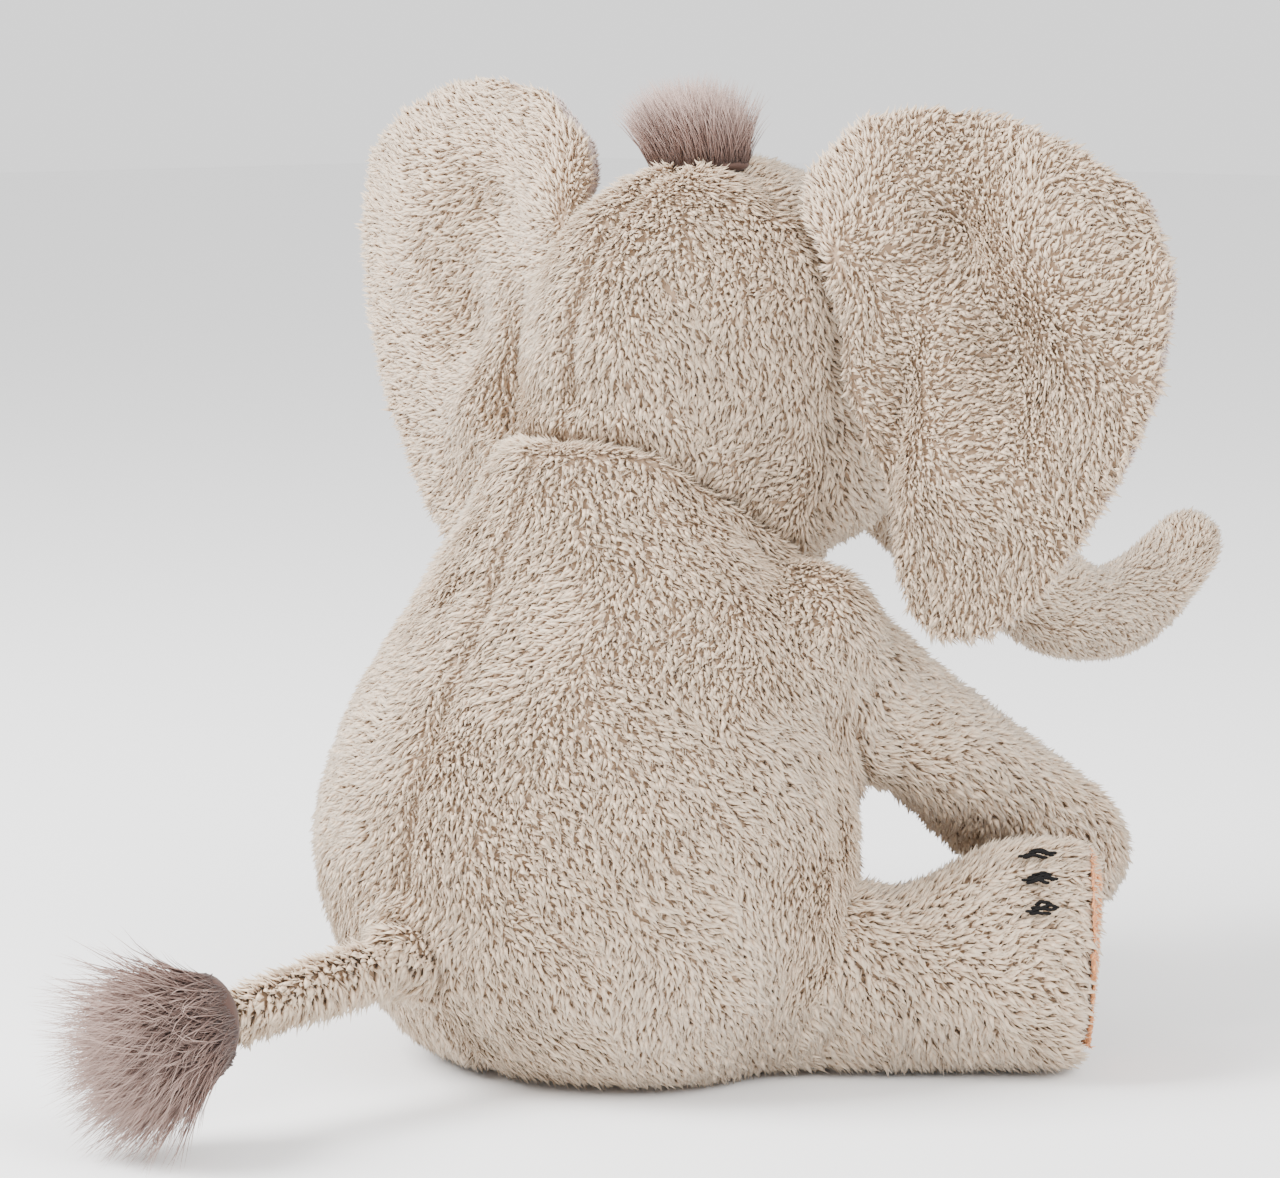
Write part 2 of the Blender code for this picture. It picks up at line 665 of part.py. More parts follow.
# The trunk hangs from the head, so its empty is under the neck's.
trunk_joint = joint("trunk_joint", head_centre + trunk_start - neck.location)
trunk_joint.parent = neck
trunk_hollow = cutter("trunk_inside", grown("trunk_inside", trunk_form, -SKIN), trunk_place)
trunk_open = ROOT_OPENING * TRUNK_RADIUS
for side, sign in SIDES:
    low, high = ((half_seam, -FAR, -FAR), (FAR, trunk_open, FAR))
    if sign < 0:
        low, high = ((-FAR, -FAR, -FAR), (-half_seam, trunk_open, FAR))
    region = block(f"trunk_{side}_region", low, high, trunk_place)
    limb_shell(f"trunk_{side}", trunk_form, trunk_hollow, region, FUR, trunk_joint, Matrix())
piece("trunk_stuffing", grown("trunk_fill", trunk_form, -SKIN - SEAM_GAP), STUFFING, 1.0, trunk_joint)

for (side, sign), arm_frame in zip(SIDES, arm_frames):
    shoulder = joint(f"arm_{side}_joint", arm_frame.translation)
    turn = arm_frame.to_3x3().to_4x4()
    inside = cutter(f"arm_{side}_inside", grown("arm_inside", arm_form, -SKIN), arm_frame)
    opening = ROOT_OPENING * ARM_RADIUS
    palm_y = -ARM_LENGTH * PALM_PLACE
    palm = rod(f"palm_{side}_region", PALM_RADIUS, (0, palm_y, -0.1), (0, palm_y, 0), arm_frame)
    palm_gap = rod(f"palm_{side}_gap", PALM_RADIUS + SEAM_GAP, (0, palm_y, -0.1), (0, palm_y, 0), arm_frame)
    outer, inner = ((half_seam, FAR), (-FAR, -half_seam))
    if sign < 0:
        outer, inner = inner, outer
    for label, (low_x, high_x) in (("outer", outer), ("inner", inner)):
        region = block(f"arm_{side}_{label}_region", (low_x, -FAR, -FAR), (high_x, opening, FAR), arm_frame)
        half = limb_shell(f"arm_{side}_{label}", arm_form, inside, region, FUR, shoulder, turn)
        cut(half, palm_gap)
    limb_shell(f"paw_pad_{side}", arm_form, inside, palm, PAD, shoulder, turn)
    fill = grown(f"arm_{side}_fill", arm_form, -SKIN - SEAM_GAP)
    piece(f"arm_{side}_stuffing", fill, STUFFING, 1.0, shoulder, turn)


def stitch_mesh(name, angle):
    """A short raised stitch that runs over the top of the foot to its sole."""
    rings = tube_rings(leg_path(), LEG_RADIUS, FOOT_EDGE)[-5:-2]
    turn = (90 + angle) / 360 * LIMB_SEGMENTS
    low, share = int(turn), turn - int(turn)
    line = []
    for ring in rings:
        centre = sum(ring, Vector()) / len(ring)
        point = ring[low].lerp(ring[(low + 1) % LIMB_SEGMENTS], share)
        line.append(point + (point - centre).normalized() * (STITCH_RADIUS + 2 * SEAM_GAP))
    curve = bpy.data.curves.new(name, "CURVE")
    curve.dimensions = "3D"
    curve.bevel_depth = STITCH_RADIUS
    curve.bevel_resolution = 1
    curve.use_fill_caps = True
    spline = curve.splines.new("POLY")
    spline.points.add(len(line) - 1)
    for point, place in zip(spline.points, line):
        point.co = (*place, 1)
    holder = bpy.data.objects.new(name, curve)
    elephant.objects.link(holder)
    bpy.context.view_layer.update()
    mesh = bpy.data.meshes.new_from_object(holder.evaluated_get(bpy.context.evaluated_depsgraph_get()))
    bpy.data.objects.remove(holder)
    bm = bmesh.new()
    bm.from_mesh(mesh)
    bmesh.ops.remove_doubles(bm, verts=bm.verts, dist=0.00002)
    return mesh_of(name, bm)


for (side, sign), leg_frame in zip(SIDES, leg_frames):
    hip = joint(f"leg_{side}_joint", leg_frame.translation)
    turn = leg_frame.to_3x3().to_4x4()
    inside = cutter(f"leg_{side}_inside", grown("leg_inside", leg_form, -SKIN), leg_frame)
    opening = ROOT_OPENING * LEG_RADIUS
    region = block(f"leg_{side}_region", (-FAR, -FAR, -FAR), (FAR, opening, FAR), leg_frame)
    sole_start, sole_lift = -LEG_LENGTH + FOOT_EDGE * SOLE_SHARE, FOOT_HEIGHT / 2 - LEG_RADIUS
    sole_region = block(f"sole_{side}_region", (-FAR, -FAR, -FAR), (FAR, sole_start, FAR), leg_frame)
    sole_gap = block(f"sole_{side}_gap", (-FAR, -FAR, -FAR), (FAR, sole_start + SEAM_GAP, FAR), leg_frame)
    skin = limb_shell(f"leg_{side}_skin", leg_form, inside, region, FUR, hip, turn)
    cut(skin, sole_gap)
    limb_shell(f"foot_sole_{side}", leg_form, inside, sole_region, PAD, hip, turn)
    fill = grown(f"leg_{side}_fill", leg_form, -SKIN - SEAM_GAP)
    piece(f"leg_{side}_stuffing", fill, STUFFING, 1.0, hip, turn)
    for number, angle in enumerate(STITCH_ANGLES, 1):
        name = f"toe_stitch_{side}_{number}"
        piece(name, stitch_mesh(name, sign * (FOOT_ROLL + angle)), THREAD, 0.6, hip, turn)

# ---------------------------------------------------------------- tail
tail_joint = joint("tail_joint", tail_root)
tail_turn = tail_frame.to_3x3().to_4x4()
tail_inside = cutter("tail_inside", grown("tail_inside", tail_form, -TAIL_SKIN), tail_frame)
tail_region = block("tail_region", (-FAR, -FAR, -FAR), (FAR, ROOT_OPENING * TAIL_RADIUS, FAR), tail_frame)
limb_shell("tail_skin", tail_form, tail_inside, tail_region, FUR, tail_joint, tail_turn)
tail_fill = grown("tail_fill", tail_form, -TAIL_SKIN - SEAM_GAP)
piece("tail_stuffing", tail_fill, STUFFING, 1.0, tail_joint, tail_turn)

tuft_start = TAIL_LENGTH - TAIL_RADIUS
tail_tuft_path = [
    (FORE_AFT * (tuft_start + TAIL_TUFT_LENGTH * share), TAIL_TUFT_RADIUS * girth, TAIL_TUFT_RADIUS * girth)
    for share, girth in TAIL_TUFT_ROWS
]
tail_tuft_mesh = loft("tail_tuft", tube_rings(tail_tuft_path, TAIL_TUFT_EDGE, TAIL_TUFT_EDGE))
tail_tuft = piece("tail_tuft", tail_tuft_mesh, TUFT, 1.0, tail_joint, tail_turn)
cut(tail_tuft, cutter("tail_shape", grown("tail_shape", tail_form, SEAM_GAP), tail_frame))
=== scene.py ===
# %% [markdown]
# # A plush elephant, from a measured frame to fur
#
# The lesson dresses a measured model of a sewn soft toy. The frame brings every
# rigid size: where the torso, head, ears, trunk, arms, legs and tail are, and
# which piece moves with which. Each skin is then grown from those solids,
# stuffed, seamed, combed and covered in pile. We work in metres, with +Z up and
# the elephant facing -Y.

# %% Load the frame
import json
import math

import bmesh
import bpy
from mathutils import Matrix, Vector, noise
from mathutils.bvhtree import BVHTree


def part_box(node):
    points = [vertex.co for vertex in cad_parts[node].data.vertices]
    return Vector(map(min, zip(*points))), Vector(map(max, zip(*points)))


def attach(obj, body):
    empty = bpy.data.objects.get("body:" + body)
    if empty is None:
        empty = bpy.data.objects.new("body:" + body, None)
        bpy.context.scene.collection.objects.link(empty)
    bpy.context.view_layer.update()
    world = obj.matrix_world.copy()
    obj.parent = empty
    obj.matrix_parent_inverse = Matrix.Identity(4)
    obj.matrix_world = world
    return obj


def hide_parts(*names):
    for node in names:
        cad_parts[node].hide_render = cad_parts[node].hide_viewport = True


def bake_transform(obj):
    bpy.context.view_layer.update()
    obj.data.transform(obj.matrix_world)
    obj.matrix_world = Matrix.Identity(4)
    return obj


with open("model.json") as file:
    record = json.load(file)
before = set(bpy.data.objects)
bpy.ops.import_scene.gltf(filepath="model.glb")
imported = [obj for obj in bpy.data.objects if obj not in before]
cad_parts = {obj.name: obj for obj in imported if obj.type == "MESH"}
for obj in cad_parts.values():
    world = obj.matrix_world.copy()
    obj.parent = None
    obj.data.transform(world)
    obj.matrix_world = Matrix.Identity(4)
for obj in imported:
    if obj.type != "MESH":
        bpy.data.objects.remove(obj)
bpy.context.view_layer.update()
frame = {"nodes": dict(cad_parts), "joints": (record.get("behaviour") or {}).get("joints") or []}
nodes = frame["nodes"]
joint_place = {j["name"]: Vector(j["pos_m"]) for j in frame["joints"]}
MM = 0.001
SIDES = ("left", "right")
OUTWARD = {"left": 1, "right": -1}  # which way along X each side lies
TOES = (1, 2, 3)
FLOOR_GAP = 0.3 * MM  # how far over the floor the flattened pile stays

# %% [markdown]
# ## Floor, camera and light
#
# The toy stands on a pale studio sweep. A long lens from a little over a metre
# keeps the shapes calm. A big soft light stands high on the camera's left, a wider
# and weaker one on its right, and a bright world fills in, as in a product studio.

# %% Floor, camera and light
floor_mesh = bpy.data.meshes.new("floor")
bm = bmesh.new()
bmesh.ops.create_grid(bm, x_segments=1, y_segments=1, size=6.0)
bm.to_mesh(floor_mesh)
bm.free()
floor = bpy.data.objects.new("floor", floor_mesh)
bpy.context.scene.collection.objects.link(floor)

floor_paint = bpy.data.materials.new("pale_floor")
floor_paint.use_nodes = True
paint = floor_paint.node_tree.nodes["Principled BSDF"]
paint.inputs["Base Color"].default_value = (0.93, 0.93, 0.93, 1)
paint.inputs["Roughness"].default_value = 0.9
floor.data.materials.append(floor_paint)

VIEW_AZIMUTH, VIEW_ELEVATION, VIEW_DISTANCE = 225.0, 6.5, 1.10
VIEW_TARGET = Vector((0, 0, 0.130))


def direction(azimuth, elevation):
    """A unit vector from the toy towards a viewer; azimuth 0 stands in front."""
    a, e = math.radians(azimuth), math.radians(elevation)
    return Vector((math.sin(a) * math.cos(e), -math.cos(a) * math.cos(e), math.sin(e)))


camera_data = bpy.data.cameras.new("camera")
camera_data.lens, camera_data.sensor_width = 125.0, 36.0
camera_data.shift_x, camera_data.shift_y = 0.043, -0.035
camera = bpy.data.objects.new("camera", camera_data)
bpy.context.scene.collection.objects.link(camera)
towards = direction(VIEW_AZIMUTH, VIEW_ELEVATION)
camera.location = VIEW_TARGET + towards * VIEW_DISTANCE
camera.rotation_euler = (-towards).to_track_quat("-Z", "Y").to_euler()
bpy.context.scene.camera = camera


def softbox(name, azimuth, elevation, distance, size, watts):
    """A square area light that faces the toy's middle."""
    data = bpy.data.lights.new(name, "AREA")
    data.energy, data.size = watts, size
    lamp = bpy.data.objects.new(name, data)
    bpy.context.scene.collection.objects.link(lamp)
    side = direction(azimuth, elevation)
    lamp.location = VIEW_TARGET + side * distance
    lamp.rotation_euler = (-side).to_track_quat("-Z", "Y").to_euler()


softbox("key", 150, 42, 1.4, 0.8, 56)
softbox("front", 268, 34, 1.9, 1.2, 40)
world = bpy.data.worlds.new("studio")
bpy.context.scene.world = world
world.use_nodes = True
world.node_tree.nodes["Background"].inputs["Color"].default_value = (1, 1, 1, 1)
world.node_tree.nodes["Background"].inputs["Strength"].default_value = 1.45
print("camera at", [round(c, 3) for c in camera.location])

# %% [markdown]
# ## Pile colour
#
# Each pile is painted dark and dull at its roots and pale at its tips: the dark root
# colour is painted shade, standing in for the little light that gets in between the
# locks. Each lock of fur carries two numbers: how far along it a point lies, and
# the lock's own tone. They are kept as a small map, so one pair of colour ramps
# paints every fur on the toy: across the map runs painted root shade to tip, and
# up the map runs dark lock to pale lock.

# %% Pile colour
PALETTE = 0.12  # the part of the map's square that the pile uses


def ramp(tree, stops):
    """A colour ramp node with the given (position, colour) stops."""
    node = tree.nodes.new("ShaderNodeValToRGB")
    elements = node.color_ramp.elements
    while len(elements) < len(stops):
        elements.new(0.5)
    for element, (position, colour) in zip(elements, stops):
        element.position, element.color = position, (*colour, 1)
    return node


def pile_material(name, root, middle, tip, variation, sheen, roughness=0.85):
    """Fur painted darker towards its roots as painted shade, and differing from lock to lock."""
    material = bpy.data.materials.new(name)
    material.use_nodes = True
    tree = material.node_tree
    shader = tree.nodes["Principled BSDF"]
    shader.inputs["Roughness"].default_value = roughness
    shader.inputs["Specular IOR Level"].default_value = 0.25
    shader.inputs["Sheen Weight"].default_value = sheen
    shader.inputs["Sheen Roughness"].default_value = 0.5
    where = tree.nodes.new("ShaderNodeUVMap")
    where.uv_map = "OFBake"
    split = tree.nodes.new("ShaderNodeSeparateXYZ")
    tree.links.new(where.outputs["UV"], split.inputs[0])
    spread = tree.nodes.new("ShaderNodeMath")
    spread.operation = "MULTIPLY"
    spread.inputs[1].default_value = 1 / PALETTE
    tree.links.new(split.outputs["X"], spread.inputs[0])
    # root is painted shade: the dark colour at the roots, where the locks shade each other
    along = ramp(tree, ((0.0, root), (0.45, middle), (1.0, tip)))
    tree.links.new(spread.outputs[0], along.inputs["Fac"])
    tone = tree.nodes.new("ShaderNodeMapRange")
    tone.inputs["From Min"].default_value = 0.0
    tone.inputs["From Max"].default_value = PALETTE
    tone.inputs["To Min"].default_value = 1.0 - variation
    tone.inputs["To Max"].default_value = 1.0 + variation * 0.6
    tree.links.new(split.outputs["Y"], tone.inputs["Value"])
    shade = tree.nodes.new("ShaderNodeVectorMath")
    shade.operation = "SCALE"
    tree.links.new(along.outputs["Color"], shade.inputs[0])
    tree.links.new(tone.outputs["Result"], shade.inputs["Scale"])
    tree.links.new(shade.outputs["Vector"], shader.inputs["Base Color"])
    return material


# The first colour of each pile is painted shade at its roots; the middle one blends it into the pile's own
# tip colour
fur_pile = pile_material(
    "fur_pile", (0.33, 0.225, 0.145), (0.635, 0.475, 0.335), (0.81, 0.665, 0.505), variation=0.16, sheen=0.15
)
tuft_pile = pile_material(
    "tuft_pile", (0.07, 0.038, 0.03), (0.25, 0.155, 0.128), (0.52, 0.385, 0.335), variation=0.35, sheen=0.1
)
lining_pile = pile_material(
    "lining_pile", (0.38, 0.29, 0.26), (0.60, 0.49, 0.45), (0.78, 0.67, 0.62), variation=0.10, sheen=0.35
)
pad_pile = pile_material(
    "pad_pile", (0.50, 0.19, 0.07), (0.86, 0.40, 0.17), (0.95, 0.55, 0.29), variation=0.10, sheen=0.2
)
print("pile materials:", 4)

# %% [markdown]
# ## Skins grown from the frame
#
# A sewn skin is a smooth stretched version of the solid under it. A voxel
# remesh wraps the frame's solids in one even sheet, smoothing rounds the hard
# rims, and a short cloth simulation with inside pressure gives the taut but
# uneven swell of real stuffing. The sheet starts a pile's depth inside the
# frame, so that the fur's tips end where the frame's surface is.

# %% Wrap, smooth and stuff a skin
PILE_DEPTH = 3.0 * MM
STUFFING_FRAMES = 12


def linked(name, mesh):
    obj = bpy.data.objects.new(name, mesh)
    bpy.context.scene.collection.objects.link(obj)
    return obj


def baked(obj):
    """Replace an object's mesh by what its modifiers make of it."""
    graph = bpy.context.evaluated_depsgraph_get()
    mesh = bpy.data.meshes.new_from_object(
        obj.evaluated_get(graph), preserve_all_data_layers=True, depsgraph=graph
    )
    obj.modifiers.clear()
    old, obj.data = obj.data, mesh
    bpy.data.meshes.remove(old)
    return obj


def wrap(name, node_names, voxel, bumps=()):
    """One closed sheet around some of the frame's solids, and any (centre, radius) bumps."""
    bm = bmesh.new()
    for node in node_names:
        bm.from_mesh(nodes[node].data)
    bmesh.ops.remove_doubles(bm, verts=bm.verts, dist=0.000001)
    for centre, radius in bumps:
        bmesh.ops.create_icosphere(bm, subdivisions=3, radius=radius, matrix=Matrix.Translation(centre))
    mesh = bpy.data.meshes.new(name)
    bm.to_mesh(mesh)
    bm.free()
    obj = linked(name, mesh)
    remesh = obj.modifiers.new("wrap", "REMESH")
    remesh.mode, remesh.voxel_size = "VOXEL", voxel
    return baked(obj)


def edit(obj, change):
    """Run a change on a bmesh of the object and write it back."""
    bm = bmesh.new()
    bm.from_mesh(obj.data)
    bm.normal_update()
    change(bm)
    bm.normal_update()
    bm.to_mesh(obj.data)
    bm.free()
    obj.data.update()


def relax(bm, verts, times):
    """Draw points towards their neighbours, several times over."""
    for _ in range(times):
        bmesh.ops.smooth_vert(bm, verts=verts, factor=0.5, use_axis_x=True, use_axis_y=True, use_axis_z=True)


def smooth(obj, times):
    edit(obj, lambda bm: relax(bm, bm.verts, times))


def shift_along_normals(obj, amount):
    """Move each point along its normal by amount(point, normal), in metres."""

    def push(bm):
        moves = [vertex.normal * amount(vertex.co, vertex.normal) for vertex in bm.verts]
        for vertex, move in zip(bm.verts, moves):
            vertex.co += move

    edit(obj, push)


def stuff(obj, pressure, cap):
    """Swell a skin with inside pressure, moving no point further than cap."""
    before = [vertex.co.copy() for vertex in obj.data.vertices]
    cloth = obj.modifiers.new("stuffing", "CLOTH")
    cloth.settings.use_pressure = True
    cloth.settings.uniform_pressure_force = pressure
    cloth.settings.quality = 4
    cloth.settings.effector_weights.gravity = 0.0
    cloth.collision_settings.use_collision = False
    cloth.point_cache.frame_start, cloth.point_cache.frame_end = 1, STUFFING_FRAMES
    scene = bpy.context.scene
    for step in range(1, STUFFING_FRAMES + 1):
        scene.frame_set(step)
    baked(obj)
    scene.frame_set(1)
    for vertex, start in zip(obj.data.vertices, before):
        move = vertex.co - start
        if move.length > cap:
            vertex.co = start + move.normalized() * cap


def refine(obj):
    finer = obj.modifiers.new("finer", "SUBSURF")
    finer.levels = finer.render_levels = 1
    return baked(obj)


def dip(distance, width):
    """1 on a seam line, falling smoothly to 0 over about a width."""
    return math.exp(-((distance / width) ** 2))


def ease(value, low, high):
    """0 up to low, 1 from high on, and smooth between them."""
    t = min(1.0, max(0.0, (value - low) / (high - low)))
    return t * t * (3 - 2 * t)


def near(*starts):
    """The distance from a point to the frame's solids whose names start so."""
    bm = bmesh.new()
    for name, node in nodes.items():
        if name.startswith(starts):
            bm.from_mesh(node.data)
    tree = BVHTree.FromBMesh(bm)
    bm.free()
    return lambda point: tree.find_nearest(point)[3]


CONTACT, OPEN_AIR = 1.5 * MM, 9.0 * MM


def pile_room(gap):
    """A skin steps in for its pile in the open, and not where another part lies on it."""
    return PILE_DEPTH * ease(gap, CONTACT, OPEN_AIR)


def relax_near(obj, gap_to, reach, times):
    """Smooth only the part of a skin that lies near another part, such as a raw rim."""
    edit(obj, lambda bm: relax(bm, [v for v in bm.verts if gap_to(v.co) < reach], times))


def filling(name, node, voxel):
    """The loose fibre inside a skin: a lumpy copy of its solid, clear of the cloth."""
    fill = wrap(name, (node,), voxel)
    smooth(fill, 3)
    shift_along_normals(fill, lambda point, normal: -2.6 * MM + 0.8 * MM * noise.noise(point * 70))
    return fill


# %% [markdown]
# ## Torso skin
#
# The pear-shaped torso is three long panels and a seat. Its seams are pulled in
# by their thread, so they show as shallow valleys in the fur: one down the
# middle of the back and one down each side, where the limbs are sewn in. The
# cloth runs a little way over each limb's round root, so no pit opens beside it.

# %% Torso skin
TORSO_PANELS = ("back_panel_left", "back_panel_right", "belly_panel", "seat_panel")
ARM_ROOT, LEG_ROOT = 19.3 * MM, 23.8 * MM  # radius of the cloth over each limb's root
roots = [(joint_place[f"arm_{side}_swing"], ARM_ROOT) for side in SIDES]
roots += [(joint_place[f"leg_{side}_splay"], LEG_ROOT) for side in SIDES]
torso = wrap("torso_fur", (*TORSO_PANELS, "body_stuffing", "pellet_bag"), 3.6 * MM, roots)
near_torso_parts = near("hood", "face", "arm_", "leg_", "tail_skin")
near_head = near("hood", "face", "head_stuffing")
SEAT_EDGE = 12 * MM  # below this height the pile is pressed flat
side_seam_y = (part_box("back_panel_left")[0].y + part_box("belly_panel")[1].y) / 2
smooth(torso, 4)
relax_near(torso, near_head, 6 * MM, 8)
stuff(torso, 4.0, 2.0 * MM)
torso = refine(torso)


def torso_shape(point, normal):
    """Inset for the pile, valleys at the seams and a few soft folds."""
    room = pile_room(near_torso_parts(point))
    if point.z < SEAT_EDGE:
        room *= max(0.15, point.z / SEAT_EDGE)
    seams = 1.6 * MM * dip(point.y - side_seam_y, 4.0 * MM)
    if point.y > side_seam_y:
        seams += 2.0 * MM * dip(point.x, 3.0 * MM)
    lumps = 1.4 * MM * noise.noise(point * 22) + 0.6 * MM * noise.noise(point * 60)
    return -room + (lumps - seams) * room / PILE_DEPTH


shift_along_normals(torso, torso_shape)
print("torso skin:", len(torso.data.polygons), "faces")

# %% [markdown]
# ## Head skin
#
# The head is two hood panels behind an ear-to-ear seam and two face panels in
# front of it. The hood's middle seam runs from the neck up to the crown tuft.

# %% Head skin
HEAD_PANELS = ("hood_left", "hood_right", "face_left", "face_right")
head = wrap("head_fur", (*HEAD_PANELS, "head_stuffing"), 3.2 * MM)
near_head_parts = near("back_panel", "belly", "ear_", "trunk_")
hood_seam_y = (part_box("hood_left")[0].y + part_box("face_left")[1].y) / 2
eye_places = [(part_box(f"eye_{side}")[0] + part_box(f"eye_{side}")[1]) / 2 for side in SIDES]
smooth(head, 3)
stuff(head, 4.0, 1.5 * MM)
head = refine(head)


def head_shape(point, normal):
    room = pile_room(near_head_parts(point))
    seams = 2.6 * MM * dip(point.y - hood_seam_y, 4.0 * MM)
    if point.y > hood_seam_y:
        seams += 3.0 * MM * dip(point.x, 3.2 * MM)
    sockets = sum(1.6 * MM * dip((point - eye).length, 8 * MM) for eye in eye_places)
    lumps = 1.0 * MM * noise.noise(point * 28)
    return -room + sockets + (lumps - seams) * room / PILE_DEPTH


shift_along_normals(head, head_shape)
print("head skin:", len(head.data.polygons), "faces")

# %% [markdown]
# ## Ear skins
#
# An ear is a fur back and a smooth lining, turned and sewn at the rim with only
# a little stuffing. Nothing stiffens it, so it dents and folds near its root and
# its rim curls forward. The same bend shapes both layers, so they stay together.

# %% Ear skins


def ear_bend(side):
    """The forward or backward shift of an ear's layers at a point."""
    hinge, sign = joint_place[f"ear_{side}_flap"], OUTWARD[side]

    def bend(point):
        out = (point.x - hinge.x) * sign
        up = point.z - hinge.z

        def dent(depth, at_out, at_up, width, squash=1.0):
            away = math.hypot(out - at_out, (up - at_up) * squash)
            return depth * MM * dip(away, width * MM)

        shift = -5.0 * MM * max(0.0, out / 0.09) ** 2.5
        shift += dent(-7.5, 0.030, 0.028, 12)
        shift += dent(-8.5, 0.044, 0.000, 13, squash=0.7)
        shift += dent(6.0, 0.062, 0.030, 17)
        crease = out - 0.016 - 0.12 * (up + 0.015)
        shift -= 5.5 * MM * dip(crease, 6 * MM) * dip(up + 0.020, 30 * MM)
        shift += dent(6.0, 0.034, -0.026, 13)
        return shift + 0.9 * MM * noise.noise(Vector((out * 30, up * 30, sign)))

    return bend


def ear_layer(name, node, side, voxel, inset):
    """One layer of an ear, bent like the other and stepped in at its back for pile."""
    layer = wrap(name, (node,), voxel)
    smooth(layer, 3)
    bend = ear_bend(side)

    def move(bm):
        for vertex in bm.verts:
            vertex.co.y += bend(vertex.co)

    edit(layer, move)
    shift_along_normals(layer, lambda point, normal: -inset * max(0.0, normal.y + 0.4))
    return layer


ears, linings = {}, {}
for side in SIDES:
    ears[side] = ear_layer(f"ear_{side}_fur", f"ear_{side}_back", side, 1.7 * MM, 1.6 * MM)
    linings[side] = ear_layer(f"ear_{side}_lining_plush", f"ear_{side}_lining", side, 1.3 * MM, 0.0)
print("ear skins:", len(ears["left"].data.polygons), "and", len(linings["left"].data.polygons), "faces")

# %% [markdown]
# ## Limb skins
#
# The trunk, arms, legs and tail are stuffed tubes. Each root lies in a hollow of
# its neighbour and stays at full size there, so that no gap opens at the seam
# when the limb flexes. Out of the hollow the skin steps in to leave room for pile.

# %% Limb skins
def limb_skin(name, node_names, gap_to, voxel, pressure):
    """A stuffed tube, stepped in for its pile where nothing lies against it."""
    skin = wrap(name, node_names, voxel)
    smooth(skin, 2)
    stuff(skin, pressure, 1.0 * MM)
    skin = refine(skin)

    def inset(point, normal):
        room = pile_room(gap_to(point)) * min(1.0, max(0.1, point.z / (10 * MM)))
        room += 1.2 * MM * dip(near_toes(point), 4.0 * MM)
        return -room + 0.8 * MM * noise.noise(point * 45) * room / PILE_DEPTH

    shift_along_normals(skin, inset)
    return skin


near_toes = near("toe_stitch")
near_face = near("face", "head_stuffing")
near_torso = near("back_panel", "belly", "seat_panel", "body_stuffing")
trunk = limb_skin("trunk_fur", ("trunk_left", "trunk_right", "trunk_stuffing"), near_face, 2.6 * MM, 3.0)
arms, legs = {}, {}
for side in SIDES:
    arm_nodes = (f"arm_{side}_outer", f"arm_{side}_inner", f"arm_{side}_stuffing", f"paw_pad_{side}")
    arms[side] = limb_skin(f"arm_{side}_fur", arm_nodes, near_torso, 2.8 * MM, 3.0)
    leg_nodes = (f"leg_{side}_skin", f"leg_{side}_stuffing", f"foot_sole_{side}")
    legs[side] = limb_skin(f"leg_{side}_fur", leg_nodes, near_torso, 3.0 * MM, 3.0)
tail = limb_skin("tail_fur", ("tail_skin", "tail_stuffing"), near_torso, 1.6 * MM, 1.0)
FILLED = ("body", "head", "trunk", "arm_left", "arm_right", "leg_left", "leg_right", "tail")
fillings = {}
for part in FILLED:
    fineness = 2 * MM if part == "tail" else 4 * MM
    fillings[part] = filling(f"{part}_filling", f"{part}_stuffing", fineness)
print("a leg skin:", len(legs["left"].data.polygons), "faces;", len(fillings), "fillings")

# %% [markdown]
# ## Locks of pile
#
# Pile clings together in small pointed locks that lean the way it was combed.
# One lock is a three-sided spindle, bent over; one fibre is a single thin cone.
# Geometry nodes scatter thousands of them over a skin, each turned by the
# skin's own comb direction and scaled by its own pile length.

# %% One lock and one fibre


DROOP, SUNK = 0.18, 0.06  # shares of a lock's length: its tip bends down, its root lies under the skin


def lock(name, length, width, lean, material, waist=0.0, cuts=0, blunt=1.0):
    """One hair or lock that leans towards +X, with its tip value along it.

    With a waist it is a spindle, widest at that share of its length; without one
    it is a cone with a few cuts to bend at, and blunt keeps its width near the tip."""
    bm = bmesh.new()
    bmesh.ops.create_cone(
        bm,
        cap_ends=True,
        cap_tris=waist > 0,
        segments=3,
        radius1=width / 2,
        radius2=0,
        depth=length,
    )
    if cuts:
        sides = [edge for edge in bm.edges if abs(edge.verts[0].co.z - edge.verts[1].co.z) > length / 2]
        bmesh.ops.subdivide_edges(bm, edges=sides, cuts=cuts, use_grid_fill=False)
        bmesh.ops.triangulate(bm, faces=bm.faces)
    share = bm.verts.layers.float.new("tip")
    for vertex in bm.verts:
        t = min(1.0, max(0.0, vertex.co.z / length + 0.5))
        if waist and t < 0.5 and vertex.co.xy.length > width / 4:
            t = waist
        if 0.1 < t < 0.9 and not waist:
            vertex.co.xy *= (1 - t**blunt) / (1 - t)
        vertex[share] = t
        vertex.co.z = length * (t * math.cos(lean) ** 0.7 - DROOP * t * t - SUNK)
        vertex.co.x += length * math.sin(lean) * t**1.5
    bmesh.ops.recalc_face_normals(bm, faces=bm.faces)
    mesh = bpy.data.meshes.new(name)
    bm.to_mesh(mesh)
    bm.free()
    mesh.shade_smooth()
    mesh.materials.append(material)
    return linked(name, mesh)


# %% Comb a skin


